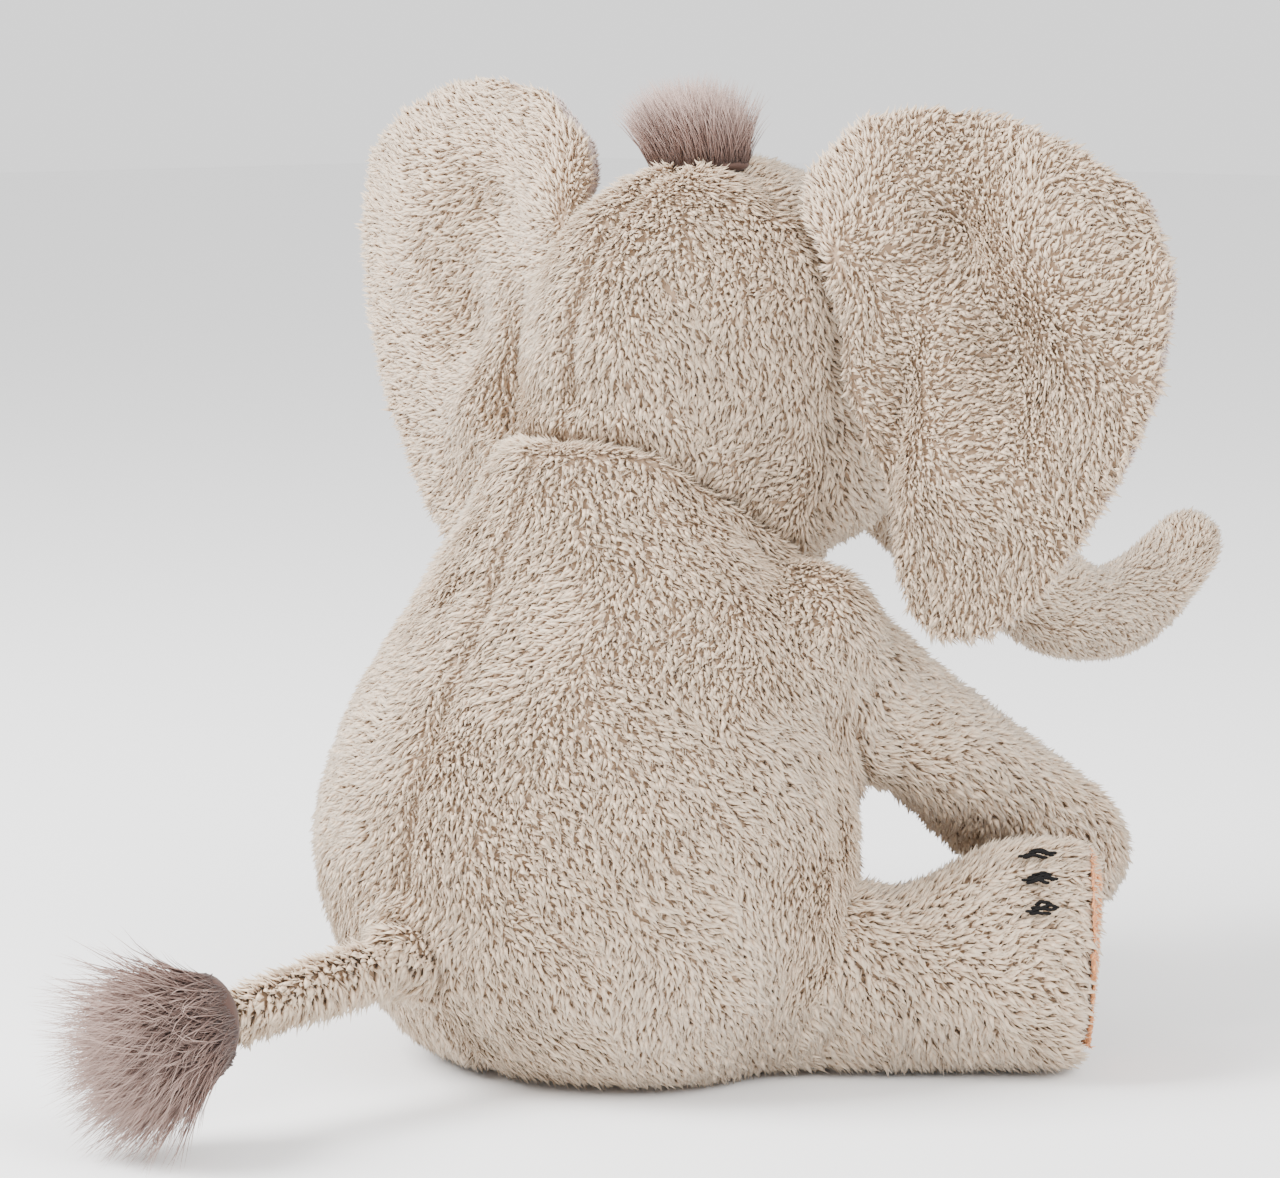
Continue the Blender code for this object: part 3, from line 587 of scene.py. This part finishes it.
def comb(skin, flow, length, swirl=0.9, grain=30.0, stand=None):
    """Store on the skin which way each point's pile stands and is combed, and its length."""
    mesh = skin.data
    directions, lengths, stands = [], [], []
    for vertex in mesh.vertices:
        point = vertex.co
        normal = stand(point) if stand else vertex.normal
        stands.extend(normal)
        along = flow(point, normal)
        along -= normal * along.dot(normal)
        if along.length < 0.0001:
            along = normal.orthogonal()
        turn = swirl * noise.noise(point * grain) + 0.5 * swirl * noise.noise(point * grain * 3.1)
        along.rotate(Matrix.Rotation(turn * 1.6, 3, normal))
        directions.extend(along.normalized())
        lengths.append(length(point, normal))
    rise = mesh.attributes.new("rise", "FLOAT_VECTOR", "POINT")
    rise.data.foreach_set("vector", stands)
    nap = mesh.attributes.new("nap", "FLOAT_VECTOR", "POINT")
    nap.data.foreach_set("vector", directions)
    pile = mesh.attributes.new("pile", "FLOAT", "POINT")
    pile.data.foreach_set("value", lengths)


# %% [markdown]
# The scatter tree reads as a sentence: spread points on the skin, turn each by
# the normal and the comb, place a lock there, give it a tone, make it real, join
# it to the skin, and write the colour map from tip and tone.

# %% Scatter locks over a skin


class Tree:
    """A few short words for building a geometry node tree."""

    def __init__(self, name):
        self.group = bpy.data.node_groups.new(name, "GeometryNodeTree")
        self.group.interface.new_socket("Geometry", in_out="INPUT", socket_type="NodeSocketGeometry")
        self.group.interface.new_socket("Geometry", in_out="OUTPUT", socket_type="NodeSocketGeometry")

    def node(self, kind, **settings):
        node = self.group.nodes.new(kind)
        for key, value in settings.items():
            setattr(node, key, value)
        return node

    def feed(self, node, socket, source):
        target = node.inputs[socket]
        if isinstance(source, bpy.types.NodeSocket):
            self.group.links.new(source, target)
        else:
            target.default_value = source

    def named(self, name, kind):
        node = self.node("GeometryNodeInputNamedAttribute", data_type=kind)
        node.inputs["Name"].default_value = name
        return node.outputs["Attribute"]

    def random(self, low, high, seed):
        node = self.node("FunctionNodeRandomValue", data_type="FLOAT")
        floats = [socket for socket in node.inputs if socket.type == "VALUE"]
        floats[0].default_value, floats[1].default_value = low, high
        node.inputs["Seed"].default_value = seed
        return [socket for socket in node.outputs if socket.type == "VALUE"][0]

    def math(self, operation, a, b):
        node = self.node("ShaderNodeMath", operation=operation)
        self.feed(node, 0, a)
        self.feed(node, 1, b)
        return node.outputs[0]


SHAVED = 0.2  # pile shorter than this share is left out
PATCH_SCALE = 70.0  # fineness of the pale and dark patches in the pile


def layer_of_locks(tree, skin_geometry, shape, per_square_mm, seed, sizes, yaw, even, tilt=0.24):
    """Real locks scattered over the skin, as one geometry socket."""
    mode = "POISSON" if even else "RANDOM"
    points = tree.node("GeometryNodeDistributePointsOnFaces", distribute_method=mode)
    tree.feed(points, "Mesh", skin_geometry)
    points.inputs["Seed"].default_value = seed
    density = per_square_mm * 1e6 * 1.0
    if even:
        points.inputs["Distance Min"].default_value = even
        points.inputs["Density Max"].default_value = density
    else:
        points.inputs["Density"].default_value = density
    axes = tree.node("FunctionNodeAxesToRotation", primary_axis="Z", secondary_axis="X")
    tree.feed(axes, "Primary Axis", tree.named("rise", "FLOAT_VECTOR"))
    tree.feed(axes, "Secondary Axis", tree.named("nap", "FLOAT_VECTOR"))
    angles = tree.node("ShaderNodeCombineXYZ")
    tree.feed(angles, "X", tree.random(-tilt, tilt, seed + 1))
    tree.feed(angles, "Y", tree.random(-tilt, tilt, seed + 2))
    tree.feed(angles, "Z", tree.random(-yaw, yaw, seed + 3))
    turned = tree.node("FunctionNodeRotateRotation", rotation_space="LOCAL")
    tree.feed(turned, "Rotation", axes.outputs["Rotation"])
    tree.feed(turned, "Rotate By", angles.outputs["Vector"])
    source = tree.node("GeometryNodeObjectInfo", transform_space="ORIGINAL")
    source.inputs["Object"].default_value = shape
    place = tree.node("GeometryNodeInstanceOnPoints")
    tree.feed(place, "Points", points.outputs["Points"])
    tree.feed(place, "Instance", source.outputs["Geometry"])
    tree.feed(place, "Rotation", turned.outputs["Rotation"])
    size = tree.math("MULTIPLY", tree.random(*sizes, seed + 4), tree.named("pile", "FLOAT"))
    tree.feed(place, "Scale", size)
    tree.feed(place, "Selection", tree.math("GREATER_THAN", tree.named("pile", "FLOAT"), SHAVED))
    where = tree.node("GeometryNodeInputPosition")
    patches = tree.node("ShaderNodeTexNoise", noise_dimensions="3D")
    patches.inputs["Scale"].default_value = PATCH_SCALE
    patches.inputs["Detail"].default_value = 2.0
    tree.feed(patches, "Vector", where.outputs["Position"])
    tone = tree.math("MULTIPLY_ADD", tree.random(-0.5, 0.5, seed + 5), 0.55)
    tone.node.inputs[2].default_value = 0.0
    tone = tree.math("ADD", tone, patches.outputs[0])
    store = tree.node("GeometryNodeStoreNamedAttribute", data_type="FLOAT", domain="INSTANCE")
    store.inputs["Name"].default_value = "tone"
    tree.feed(store, "Geometry", place.outputs["Instances"])
    tree.feed(store, "Value", tone)
    real = tree.node("GeometryNodeRealizeInstances")
    tree.feed(real, "Geometry", store.outputs["Geometry"])
    return real.outputs["Geometry"]


def grow(skin, layers, material, skin_tip=0.0, skin_tone=0.5):
    """Cover a skin in layers of locks and write the colour map for all of it."""
    tree = Tree(f"{skin.name}_pile")
    start = tree.node("NodeGroupInput").outputs["Geometry"]
    join = tree.node("GeometryNodeJoinGeometry")
    base = start
    # The skin itself takes the ramp's colour at skin_tip: at 0 the dark root colour, painted shade under the
    # locks
    for name, value in (("tip", skin_tip), ("tone", skin_tone)):
        store = tree.node("GeometryNodeStoreNamedAttribute", data_type="FLOAT", domain="POINT")
        store.inputs["Name"].default_value = name
        tree.feed(store, "Geometry", base)
        tree.feed(store, "Value", value)
        base = store.outputs["Geometry"]
    tree.group.links.new(base, join.inputs["Geometry"])
    for layer in layers:
        tree.group.links.new(layer_of_locks(tree, start, **layer), join.inputs["Geometry"])
    held = []
    for name in ("tip", "tone"):
        kept = tree.node("ShaderNodeClamp")
        tree.feed(kept, "Value", tree.named(name, "FLOAT"))
        kept.inputs["Min"].default_value, kept.inputs["Max"].default_value = 0.02, 0.98
        held.append(tree.math("MULTIPLY", kept.outputs["Result"], PALETTE))
    pair = tree.node("ShaderNodeCombineXYZ")
    tree.feed(pair, "X", held[0])
    tree.feed(pair, "Y", held[1])
    chart = tree.node("GeometryNodeStoreNamedAttribute", data_type="FLOAT2", domain="CORNER")
    chart.inputs["Name"].default_value = "OFBake"
    tree.feed(chart, "Geometry", join.outputs["Geometry"])
    tree.feed(chart, "Value", pair.outputs["Vector"])
    rounded = tree.node("GeometryNodeSetShadeSmooth")
    tree.feed(rounded, "Geometry", chart.outputs["Geometry"])
    dyed = tree.node("GeometryNodeSetMaterial")
    tree.feed(dyed, "Geometry", rounded.outputs["Geometry"])
    dyed.inputs["Material"].default_value = material
    end = tree.node("NodeGroupOutput")
    tree.group.links.new(dyed.outputs["Geometry"], end.inputs["Geometry"])
    modifier = skin.modifiers.new("pile", "NODES")
    modifier.node_group = tree.group
    baked(skin)
    for name in ("rise", "nap", "pile", "tip", "tone"):
        if name in skin.data.attributes:
            skin.data.attributes.remove(skin.data.attributes[name])
    skin.data.materials.clear()
    skin.data.materials.append(material)
    bpy.data.node_groups.remove(tree.group)


def rest_on_floor(skin):
    """Press anything under the floor flat against it."""

    def press(bm):
        for vertex in bm.verts:
            vertex.co.z = max(vertex.co.z, FLOOR_GAP)

    edit(skin, press)


# %% [markdown]
# ## Fur on the body, limbs and ears
#
# The comb runs down the torso and away from its middle seam, back and down over
# the head, outward over the ears and along each limb to its end. Pile is short
# at the seams, where the needle catches it, and round the eyes.

# %% Lock shapes
body_lock = lock("body_lock", 4.3 * MM, 1.6 * MM, math.radians(54), fur_pile, waist=0.45)
body_fibre = lock("body_fibre", 4.4 * MM, 0.9 * MM, math.radians(48), fur_pile)


def fur_layers(seed):
    """Locks to cover a skin, and loose fibres that soften them."""
    return (
        dict(shape=body_lock, per_square_mm=1.0, seed=seed, sizes=(0.65, 1.15), yaw=0.55, even=0.84 * MM),
        dict(shape=body_fibre, per_square_mm=0.9, seed=seed + 50, sizes=(0.6, 1.12), yaw=0.8, even=0.0),
    )


def hidden(gap):
    """No pile where a skin lies against its neighbour, full pile in the open."""
    return ease(gap, 0.3 * MM, 2.2 * MM)


# %% Torso and head fur
DOWN = Vector((0, 0, -1))


def torso_flow(point, normal):
    return DOWN + Vector((math.copysign(0.35, point.x), 0, 0))


def underneath(point, normal):
    """Hardly any pile where the toy rests on the floor."""
    return 0.1 if normal.z < -0.8 and point.z < 3 * MM else 1.0


def torso_length(point, normal):
    at_seam = dip(point.x, 2.0 * MM) if point.y > side_seam_y else 0.0
    return (1.0 - 0.45 * at_seam) * underneath(point, normal) * hidden(near_head(point))


comb(torso, torso_flow, torso_length)
grow(torso, fur_layers(10), fur_pile)
rest_on_floor(torso)


def head_flow(point, normal):
    return Vector((point.x * 6, 0.35 if point.y > hood_seam_y else -0.5, -0.9))


def head_length(point, normal):
    near_eye = max(dip((point - eye).length, 9 * MM) for eye in eye_places)
    at_seam = dip(point.x, 2.0 * MM) if point.y > hood_seam_y else 0.0
    return (1.0 - 0.62 * near_eye - 0.45 * at_seam) * hidden(near_head_parts(point))


comb(head, head_flow, head_length)
grow(head, fur_layers(20), fur_pile)
print("torso and head:", len(torso.data.polygons) + len(head.data.polygons), "faces")

# %% Limb fur


def along_limb(start, end):
    run = (end - start).normalized()
    return lambda point, normal: run.copy()


def middle(node):
    low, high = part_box(node)
    return (low + high) / 2


trunk_root, trunk_front = joint_place["trunk_lift"].y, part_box("trunk_left")[0].y


def trunk_flow(point, normal):
    """The comb follows the trunk round its bend to the tip."""
    forward = (trunk_root - point.y) / (trunk_root - trunk_front)
    return Vector((0, -1, -0.9 + 1.5 * forward))


comb(trunk, trunk_flow, lambda point, normal: 0.85 * hidden(near_face(point)))
grow(trunk, fur_layers(30), fur_pile)
sole_places = {}
for index, side in enumerate(SIDES):
    shoulder, hip = joint_place[f"arm_{side}_swing"], joint_place[f"leg_{side}_splay"]
    pad, sole = middle(f"paw_pad_{side}"), middle(f"foot_sole_{side}")
    sole_places[side] = sole
    leg_run = Vector((sole.x - hip.x, sole.y - hip.y, 0)).normalized()

    def arm_length(point, normal, pad=pad):
        return (1.12 - 1.0 * dip((point - pad).length, 11 * MM)) * hidden(near_torso(point))

    def leg_length(point, normal, run=leg_run, sole=sole):
        on_sole = (point - sole).dot(run) > -6.0 * MM and normal.dot(run) > 0.75
        if on_sole:
            return 0.1
        gathered = 1.0 - 0.5 * dip(near_toes(point), 3.5 * MM)
        return 1.2 * underneath(point, normal) * gathered * hidden(near_torso(point))

    comb(arms[side], along_limb(shoulder, pad), arm_length)
    grow(arms[side], fur_layers(40 + index), fur_pile)
    comb(legs[side], lambda point, normal, run=leg_run: run + DOWN * 0.7, leg_length)
    grow(legs[side], fur_layers(60 + index), fur_pile)
    rest_on_floor(legs[side])
tail_run = (middle("tail_tuft") - joint_place["tail_swing"]).normalized()
comb(
    tail,
    lambda point, normal: tail_run + DOWN * 0.9,
    lambda point, normal: 1.4 * hidden(near_torso(point)),
    swirl=0.5,
)
grow(tail, fur_layers(80), fur_pile)
print("limbs:", sum(len(o.data.polygons) for o in (trunk, tail, *arms.values(), *legs.values())), "faces")

# %% Ear fur and lining
lining_lock = lock("lining_lock", 1.9 * MM, 0.9 * MM, math.radians(50), lining_pile)
pad_lock = lock("pad_lock", 1.8 * MM, 0.9 * MM, math.radians(45), pad_pile)
for index, side in enumerate(SIDES):
    hinge = joint_place[f"ear_{side}_flap"]

    def ear_flow(point, normal, hinge=hinge):
        out = point - hinge
        return Vector((out.x, 0, out.z * 0.8 - 0.02))

    comb(ears[side], ear_flow, lambda point, normal: 0.92 if normal.y > -0.5 else 0.15)
    grow(ears[side], fur_layers(90 + index), fur_pile)
    comb(linings[side], ear_flow, lambda point, normal: 1.0 if normal.y < 0.5 else 0.1, swirl=0.4)
    velour = dict(
        shape=lining_lock, per_square_mm=1.6, seed=95 + index, sizes=(0.7, 1.1), yaw=0.8, even=0.0
    )
    # 0.3 paints the lining's skin with part of the painted root shade
    grow(linings[side], (velour,), lining_pile, 0.3)
print("ears:", len(ears["left"].data.polygons), "faces each")

# %% [markdown]
# ## Soles and palms
#
# The soles and palms are cut from a short, dense, peach-coloured pile. Each is a
# shallow cushion set into the limb, sewn round its rim.

# %% Soles and palms


def pad_skin(name, node, away_from, lift, seed):
    """A thin cushion over a pad's solid, set a little into it to leave room for pile."""
    pad = wrap(name, (node,), 1.5 * MM)
    smooth(pad, 2)
    outward = (middle(node) - away_from).normalized()
    shift_along_normals(pad, lambda point, normal: lift * max(0.0, normal.dot(outward)) - 1.0 * MM)
    comb(pad, lambda point, normal: DOWN.copy(), lambda point, normal: 1.0, swirl=0.5)
    short = dict(shape=pad_lock, per_square_mm=1.7, seed=seed, sizes=(0.7, 1.1), yaw=0.9, even=0.0)
    # 0.3 paints the pad's skin with part of the painted root shade
    grow(pad, (short,), pad_pile, 0.3)
    rest_on_floor(pad)
    return pad


pads = {}
for index, side in enumerate(SIDES):
    hip = joint_place[f"leg_{side}_splay"]
    sole, palm = f"foot_sole_{side}", f"paw_pad_{side}"
    pads[sole] = pad_skin(f"{sole}_plush", sole, hip, -1.0 * MM, 110 + index)
    above = middle(palm) + Vector((0, 0, 0.02))
    pads[palm] = pad_skin(f"{palm}_plush", palm, above, -0.6 * MM, 120 + index)
print("pads:", len(pads))

# %% [markdown]
# ## Toe stitches
#
# Each foot has three embroidered toes: a few turns of black thread laid side by
# side through the pile and drawn down into it. Each stitch is four thin strands.

# %% Toe stitches
black_thread = bpy.data.materials.new("black_thread")
black_thread.use_nodes = True
thread_tree = black_thread.node_tree
thread_shader = thread_tree.nodes["Principled BSDF"]
thread_shader.inputs["Base Color"].default_value = (0.004, 0.0035, 0.0035, 1)
thread_shader.inputs["Roughness"].default_value = 0.8
thread_shader.inputs["Specular IOR Level"].default_value = 0.2
thread_waves = thread_tree.nodes.new("ShaderNodeTexWave")
thread_waves.inputs["Scale"].default_value = 900.0
thread_place = thread_tree.nodes.new("ShaderNodeTexCoord")
thread_bump = thread_tree.nodes.new("ShaderNodeBump")
thread_bump.inputs["Strength"].default_value = 0.4
thread_bump.inputs["Distance"].default_value = 0.0002
thread_tree.links.new(thread_place.outputs["Object"], thread_waves.inputs["Vector"])
thread_tree.links.new(thread_waves.outputs["Fac"], thread_bump.inputs["Height"])
thread_tree.links.new(thread_bump.outputs["Normal"], thread_shader.inputs["Normal"])

# Each strand: its offset across the stitch in mm, and its start and stop along it.
STRANDS = ((-1.3, 0.42, 0.66), (-0.5, 0.34, 0.72), (0.3, 0.30, 0.64), (1.1, 0.38, 0.58))
BEADS = 9  # short overlapping beads that make up one strand
BEAD_HALVES = (0.42 * MM, 0.42 * MM, 0.75 * MM)


def stitch(name, node, axis_point):
    """Four uneven strands laid along the stitch's solid, drawn down into the pile."""
    centre = middle(node)
    corners = nodes[node].data.vertices
    first = max(corners, key=lambda vertex: (vertex.co - centre).length).co
    last = max(corners, key=lambda vertex: (vertex.co - first).length).co
    run = last - first
    out = (centre - axis_point).normalized()
    across = run.cross(out).normalized()
    turn = run.to_track_quat("Z", "Y").to_matrix().to_4x4()
    size = Matrix.Diagonal((*BEAD_HALVES, 1))
    bm = bmesh.new()
    for offset, start, stop in STRANDS:
        for bead in range(BEADS):
            t = bead / (BEADS - 1)
            rise = 0.8 * MM * math.sin(math.pi * t) - 1.9 * MM
            drift = 0.9 * MM * noise.noise(Vector((t * 3, offset * 5, centre.x * 90 + centre.z * 300)))
            sideways = across * (offset * MM + drift)
            place = first.lerp(last, start + (stop - start) * t) + sideways + out * rise
            matrix = Matrix.Translation(place) @ turn @ size
            bmesh.ops.create_uvsphere(bm, u_segments=8, v_segments=6, radius=1, matrix=matrix)
    mesh = bpy.data.meshes.new(name)
    bm.to_mesh(mesh)
    bm.free()
    mesh.shade_smooth()
    mesh.materials.append(black_thread)
    return linked(name, mesh)


stitches = {}
for side in SIDES:
    hip, sole = joint_place[f"leg_{side}_splay"], sole_places[side]
    for number in TOES:
        node = f"toe_stitch_{side}_{number}"
        spot = middle(node)
        run = (sole - hip).normalized()
        nearest = hip + run * (spot - hip).dot(run)
        stitches[node] = stitch(f"{node}_thread", node, nearest)
print("stitches:", len(stitches))

# %% [markdown]
# ## Crown and tail tufts
#
# The tufts are long loose pile in mauve brown. A strand is a long thin cone with
# a bend or two. On the crown they stand in a fan from a strip across the head; on
# the tail they spread back and out from the end of the tube.

# %% Tufts


def tuft(name, root, halves, focus, strand, count, seed, lean, tilt, dome):
    """A brush of strands on a small mound, fanning away from a focus behind it.

    halves are the mound's half sizes; dome shortens the strands towards its rim."""
    bm = bmesh.new()
    place = Matrix.Translation(root) @ Matrix.Diagonal((*halves, 1))
    bmesh.ops.create_icosphere(bm, subdivisions=3, radius=1, matrix=place)
    mesh = bpy.data.meshes.new(name)
    bm.to_mesh(mesh)
    bm.free()
    mound = linked(name, mesh)
    outward = (root - focus).normalized()

    def on_top(point):
        return (point - root).dot(outward) > -0.2 * MM

    def length(point, normal):
        if not on_top(point):
            return 0.0
        across = point - root - outward * (point - root).dot(outward)
        return 1.0 - dome * min(1.0, across.length / max(halves)) ** 2

    area = sum(p.area for p in mesh.polygons if on_top(mesh.vertices[p.vertices[0]].co)) * 1e6
    comb(
        mound,
        lambda point, normal: lean.copy(),
        length,
        swirl=0.8,
        grain=80,
        stand=lambda point: (point - focus).normalized(),
    )
    layer = dict(shape=strand, per_square_mm=count / area, seed=seed, sizes=(0.55, 1.08), yaw=2.6)
    grow(mound, (dict(layer, even=0.0, tilt=tilt),), tuft_pile)
    return mound


crown_strand = lock("crown_strand", 26.5 * MM, 0.42 * MM, math.radians(14), tuft_pile, cuts=2, blunt=1.6)
tail_strand = lock("tail_strand", 41 * MM, 0.50 * MM, math.radians(14), tuft_pile, cuts=2, blunt=1.6)
crown_low, crown_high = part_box("crown_tuft")
crown_root = Vector((1.5 * MM, (crown_low.y + crown_high.y) / 2, crown_high.z - 20.5 * MM))
crown_hair = tuft(
    "crown_hair",
    root=crown_root,
    halves=(16.5 * MM, 6.5 * MM, 3.0 * MM),
    focus=crown_root + Vector((-3 * MM, -4 * MM, -60 * MM)),
    strand=crown_strand,
    count=4200,
    seed=131,
    lean=Vector((0.3, 0.5, 0)),
    tilt=0.17,
    dome=0.28,
)
tail_joint, tail_back = joint_place["tail_swing"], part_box("tail_tuft")[1].y
tail_end = tail_joint + tail_run * (tail_back - tail_joint.y - 42 * MM)
tail_hair = tuft(
    "tail_hair",
    root=tail_end,
    halves=(10 * MM, 7 * MM, 12.5 * MM),
    focus=tail_end - tail_run * 62 * MM,
    strand=tail_strand,
    count=4800,
    seed=141,
    lean=DOWN,
    tilt=0.26,
    dome=0.0,
)
rest_on_floor(tail_hair)
print("tufts:", len(crown_hair.data.polygons) + len(tail_hair.data.polygons), "faces")

# %% [markdown]
# ## Small parts that stay as the frame has them
#
# The safety eyes are gloss black domes. The washers, stuffing and pellet bag are
# inside and only need honest materials.

# %% Plain materials


def noisy_material(name, colour, second, scale, roughness, strength):
    """A material that mottles between two colours with a matching bump."""
    material = bpy.data.materials.new(name)
    material.use_nodes = True
    tree = material.node_tree
    shader = tree.nodes["Principled BSDF"]
    shader.inputs["Roughness"].default_value = roughness
    place = tree.nodes.new("ShaderNodeTexCoord")
    grain = tree.nodes.new("ShaderNodeTexNoise")
    grain.inputs["Scale"].default_value = scale
    colours = ramp(tree, ((0.3, colour), (0.7, second)))
    bump = tree.nodes.new("ShaderNodeBump")
    bump.inputs["Strength"].default_value = strength
    bump.inputs["Distance"].default_value = 0.0005
    tree.links.new(place.outputs["Object"], grain.inputs["Vector"])
    tree.links.new(grain.outputs["Fac"], colours.inputs["Fac"])
    tree.links.new(colours.outputs["Color"], shader.inputs["Base Color"])
    tree.links.new(grain.outputs["Fac"], bump.inputs["Height"])
    tree.links.new(bump.outputs["Normal"], shader.inputs["Normal"])
    return material


eye_gloss = noisy_material("eye_gloss", (0.003, 0.0025, 0.0025), (0.007, 0.005, 0.004), 400, 0.05, 0.0)
washer_plastic = noisy_material("washer_plastic", (0.70, 0.70, 0.67), (0.78, 0.78, 0.75), 300, 0.4, 0.1)
fibre_fill = noisy_material("fibre_fill", (0.78, 0.78, 0.76), (0.90, 0.90, 0.88), 260, 0.95, 0.6)
bag_cloth = noisy_material("bag_cloth", (0.44, 0.42, 0.39), (0.56, 0.54, 0.50), 500, 0.85, 0.5)
for fill in fillings.values():
    fill.data.shade_smooth()
    fill.data.materials.append(fibre_fill)
kept = {"eye": eye_gloss, "washer": washer_plastic, "stuffing": fibre_fill, "bag": bag_cloth}
for name, node in nodes.items():
    for word, material in kept.items():  # a later word wins, so an eye's washer is plastic
        if word in name:
            node.data.materials.clear()
            node.data.materials.append(material)
print("plain materials:", len(kept))

# %% [markdown]
# ## Hide the replaced solids and tie skins to their bodies
#
# Each skin hides the frame's solids that it stands for, and a skin on a body is
# attached to that body's empty. A limb skin on a joint is only baked where it
# stands.

# %% Tie the skins


def dress(piece, replaced, body=None, joint=None, reach=None):
    """Hide the solids a piece stands for and attach it to its body; a piece on a joint is only baked in
    place.
    """
    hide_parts(*replaced)
    if joint:
        start, end = reach
        tuple(start)
        tuple(end)
        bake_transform(piece)
    else:
        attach(piece, body)


def seam_reach(joint, towards, back, ahead):
    """Two points about a joint, back behind it and ahead of it towards a given point."""
    origin = joint_place[joint]
    run = (towards - origin).normalized()
    return origin - run * back, origin + run * ahead


dress(torso, TORSO_PANELS, body="torso")
dress(fillings["body"], ("body_stuffing",), body="torso")
dress(fillings["head"], ("head_stuffing",), body="head")
dress(head, HEAD_PANELS, body="head")
dress(crown_hair, ("crown_tuft",), body="head")
trunk_ahead = joint_place["trunk_lift"] + Vector((0, -0.030, -0.026))
trunk_reach = seam_reach("trunk_lift", trunk_ahead, 4 * MM, 22 * MM)
dress(trunk, ("trunk_left", "trunk_right"), joint="trunk_lift", reach=trunk_reach)
dress(fillings["trunk"], ("trunk_stuffing",), joint="trunk_lift", reach=trunk_reach)
for side in SIDES:
    dress(ears[side], (f"ear_{side}_back",), body=f"ear_{side}")
    dress(linings[side], (f"ear_{side}_lining",), body=f"ear_{side}")
    arm, leg, sole, palm = f"arm_{side}", f"leg_{side}", f"foot_sole_{side}", f"paw_pad_{side}"
    reach = seam_reach(f"{arm}_swing", middle(palm), 2 * MM, 20 * MM)
    dress(arms[side], (f"{arm}_outer", f"{arm}_inner"), joint=f"{arm}_swing", reach=reach)
    dress(fillings[arm], (f"{arm}_stuffing",), joint=f"{arm}_swing", reach=reach)
    reach = seam_reach(f"{leg}_splay", middle(sole), 2 * MM, 26 * MM)
    dress(legs[side], (f"{leg}_skin",), joint=f"{leg}_splay", reach=reach)
    dress(fillings[leg], (f"{leg}_stuffing",), joint=f"{leg}_splay", reach=reach)
    for number in TOES:
        node = f"toe_stitch_{side}_{number}"
        dress(stitches[node], (node,), body=leg)
    dress(pads[sole], (sole,), body=leg)
    dress(pads[palm], (palm,), body=arm)
tail_reach = seam_reach("tail_swing", middle("tail_tuft"), 2 * MM, 16 * MM)
dress(tail, ("tail_skin",), joint="tail_swing", reach=tail_reach)
dress(fillings["tail"], ("tail_stuffing",), joint="tail_swing", reach=tail_reach)
dress(tail_hair, ("tail_tuft",), body="tail")
for shape in (body_lock, body_fibre, lining_lock, pad_lock, crown_strand, tail_strand):
    bpy.data.objects.remove(shape)

# %% Print the triangle counts
shown = [o for o in bpy.context.scene.objects if o.type == "MESH" and not o.hide_render]
print("triangles:", {o.name: sum(len(p.vertices) - 2 for p in o.data.polygons) for o in shown})
